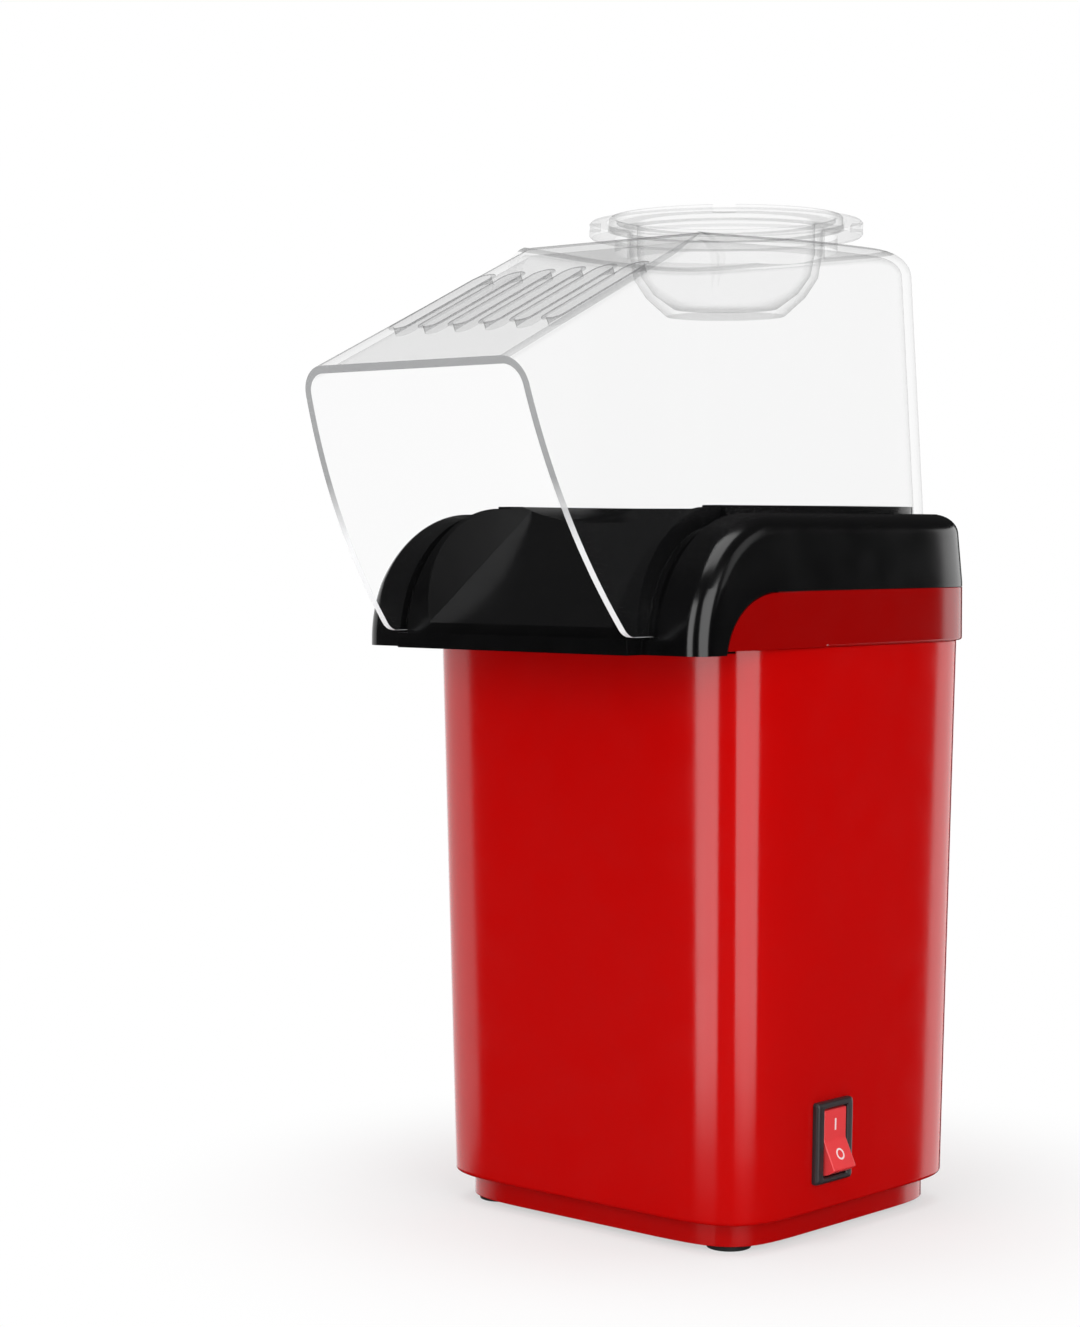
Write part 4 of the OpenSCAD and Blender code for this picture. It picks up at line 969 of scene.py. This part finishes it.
# ---------------------------------------------------------------- pieces
make_body()
make_band()
make_upper_shell()
make_hood()
make_cup()
make_switch()
pivot = SWITCH_FRAME @ Matrix.Translation((PIVOT_X, 0, 0))
rocker_place = pivot @ Matrix.Rotation(-ROCKER_TURN, 4, "Y")
make_rocker(rocker_place)
make_marks(rocker_place)
refined("base_plate", "plinth", PLINTH_RED, "housing", "red_band", 0.5)
refined("rubber_feet", "feet", RUBBER, "housing", "foot_rubber", 0.4)
refined("base_screws", "plinth_screws", STEEL, "housing", "screw_steel", 0.12)
refined("cord_bush", "bush", RUBBER, "housing", "foot_rubber", 0.35)
refined("popping_chamber", "chamber", ALUMINIUM, "housing", "chamber_aluminium", 0.15)
refined("fan_impeller", "impeller", GREY_NYLON, "fan", "impeller_nylon", 0.2)

CAD_LOOKS = {
    "switch_terminals": BRASS,
    "chamber_gasket": SILICONE,
    "support_plate": PHENOLIC,
    "chamber_screws": STEEL,
    "heater_can": SHEET,
    "air_baffle": MICA,
    "mica_boards": MICA,
    "heating_wire": WIRE,
    "fan_housing": FAN_NYLON,
    "motor_shaft": STEEL,
    "motor_can": SHEET,
    "motor_end_cap": NYLON,
    "motor_screws": STEEL,
    "rectifier_board": BOARD,
    "rectifier_diodes": EPOXY,
    "thermostat": GUARD,
    "thermal_fuse": STEEL,
    "housing_screws": STEEL,
}
for node, mat in CAD_LOOKS.items():
    wear(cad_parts[node], mat)


# ---------------------------------------------------------------- floor, light, camera, in metres
# Heights of a ray's direction between which the world's light goes from SKY_LOW_GREY to white
SKY_LOW, SKY_HIGH = -0.1, 0.9
SKY_LOW_GREY = 0.1
SKY_STRENGTH = 0.5
SKY_STRENGTH_IN_GLOSS = 0.06


def make_world():
    """White to the camera. Its light is dimmer, darkens downwards and is faint in reflections."""
    world = bpy.data.worlds.new("studio")
    world.use_nodes = True
    tree = world.node_tree
    tree.nodes.clear()
    out, dim, white, mix = add_nodes(tree, "OutputWorld", "Background", "Background", "MixShader")
    place, split, path = add_nodes(tree, "TexCoord", "SeparateXYZ", "LightPath")
    tree.links.new(place.outputs["Generated"], split.inputs["Vector"])
    shade = map_range(
        tree, split.outputs["Z"], SKY_LOW, SKY_HIGH, SKY_LOW_GREY, 1.0, "SMOOTHSTEP")
    tree.links.new(shade, dim.inputs["Color"])
    strength = map_range(
        tree, path.outputs["Is Glossy Ray"], 0.0, 1.0, SKY_STRENGTH, SKY_STRENGTH_IN_GLOSS)
    tree.links.new(strength, dim.inputs["Strength"])
    set_inputs(white, {"Color": (1, 1, 1, 1), "Strength": 1.0})
    tree.links.new(path.outputs["Is Camera Ray"], mix.inputs["Fac"])
    tree.links.new(dim.outputs["Background"], mix.inputs[1])
    tree.links.new(white.outputs["Background"], mix.inputs[2])
    tree.links.new(mix.outputs["Shader"], out.inputs["Surface"])
    bpy.context.scene.world = world


FLOOR_R = 0.9
SHADOW_FROM, SHADOW_TO = 0.065, 0.17  # distances from the axis between which the floor turns white
SHADOW_WHITE = 0.55  # share of white close to the machine


def floor_material():
    """White to the camera, and plain within the machine's shadow."""
    mat = bpy.data.materials.new("floor_white")
    mat.use_nodes = True
    tree = mat.node_tree
    tree.nodes.clear()
    out, plain, white, mix = add_nodes(
        tree, "OutputMaterial", "BsdfDiffuse", "Emission", "MixShader")
    place, reach, path, share = add_nodes(tree, "TexCoord", "VectorMath", "LightPath", "Math")
    plain.inputs["Color"].default_value = (0.85, 0.85, 0.85, 1)
    white.inputs["Color"].default_value = (1, 1, 1, 1)
    reach.operation = "LENGTH"
    share.operation = "MULTIPLY"
    tree.links.new(place.outputs["Object"], reach.inputs[0])
    fade = map_range(
        tree, reach.outputs["Value"], SHADOW_FROM, SHADOW_TO, SHADOW_WHITE, 1.0, "SMOOTHSTEP")
    tree.links.new(path.outputs["Is Camera Ray"], share.inputs[0])
    tree.links.new(fade, share.inputs[1])
    tree.links.new(share.outputs["Value"], mix.inputs["Fac"])
    tree.links.new(plain.outputs["BSDF"], mix.inputs[1])
    tree.links.new(white.outputs["Emission"], mix.inputs[2])
    tree.links.new(mix.outputs["Shader"], out.inputs["Surface"])
    return mat


def make_floor():
    rim = ring_at(circle(FLOOR_R, 96), 0)
    mesh = bpy.data.meshes.new("floor")
    mesh.from_pydata(rim, [], [tuple(range(len(rim)))])
    mesh.materials.append(floor_material())
    floor = bpy.data.objects.new("floor", mesh)
    floor.location.y = AXIS_Y * MM
    floor.visible_glossy = False
    bpy.context.scene.collection.objects.link(floor)


LIT_POINT = Vector((0, 0.02, 0.13))

# Azimuth (0 in front, 90 on the +X side), elevation, distance, width, height and watts of each lamp
LAMPS = {
    "top": (20, 82, 1.1, 0.9, 0.7, 5),
    "corner_front": (-3, 9, 1.2, 0.62, 1.2, 7.4),
    "corner_side": (70, 9, 1.2, 1.1, 1.2, 12),
    "collar_side": (124, 22, 1.0, 0.35, 0.5, 0.4),
    "edge_left": (-92, 0, 1.0, 1.6, 0.8, 4.8),
    "edge_right": (169, -5, 1.0, 0.65, 0.8, 2.5),
}


def soft_box(name, azimuth, elevation, distance, width, height, watts):
    """Area light on a sphere round the lit point, facing it."""
    a, e = math.radians(azimuth), math.radians(elevation)
    way = Vector((math.sin(a) * math.cos(e), -math.cos(a) * math.cos(e), math.sin(e)))
    lamp = bpy.data.lights.new(name, "AREA")
    lamp.shape = "RECTANGLE"
    lamp.size, lamp.size_y = width, height
    lamp.energy = watts
    obj = bpy.data.objects.new(name, lamp)
    obj.location = LIT_POINT + way * distance
    obj.rotation_mode = "QUATERNION"
    obj.rotation_quaternion = (-way).to_track_quat("-Z", "Y")
    obj.visible_camera = False
    bpy.context.scene.collection.objects.link(obj)


# Camera fitted to the photo's outlines
CAMERA_PLACE = (0.48473, -0.56393, 0.1795)
CAMERA_AZIMUTH = math.radians(42.497)
CAMERA_DOWN = math.radians(2.587)
SENSOR_MM, LENS_MM = 36.0, 77.18


def make_camera():
    camera = bpy.data.cameras.new("camera")
    camera.sensor_width = SENSOR_MM
    camera.lens = LENS_MM
    obj = bpy.data.objects.new("camera", camera)
    obj.location = CAMERA_PLACE
    obj.rotation_euler = (math.pi / 2 - CAMERA_DOWN, 0, CAMERA_AZIMUTH)
    bpy.context.scene.collection.objects.link(obj)
    bpy.context.scene.camera = obj


make_camera()
make_floor()
make_world()
for name, settings in LAMPS.items():
    soft_box(name, *settings)
bpy.context.scene.view_settings.view_transform = "Standard"
bpy.context.scene.cycles.transparent_max_bounces = 32
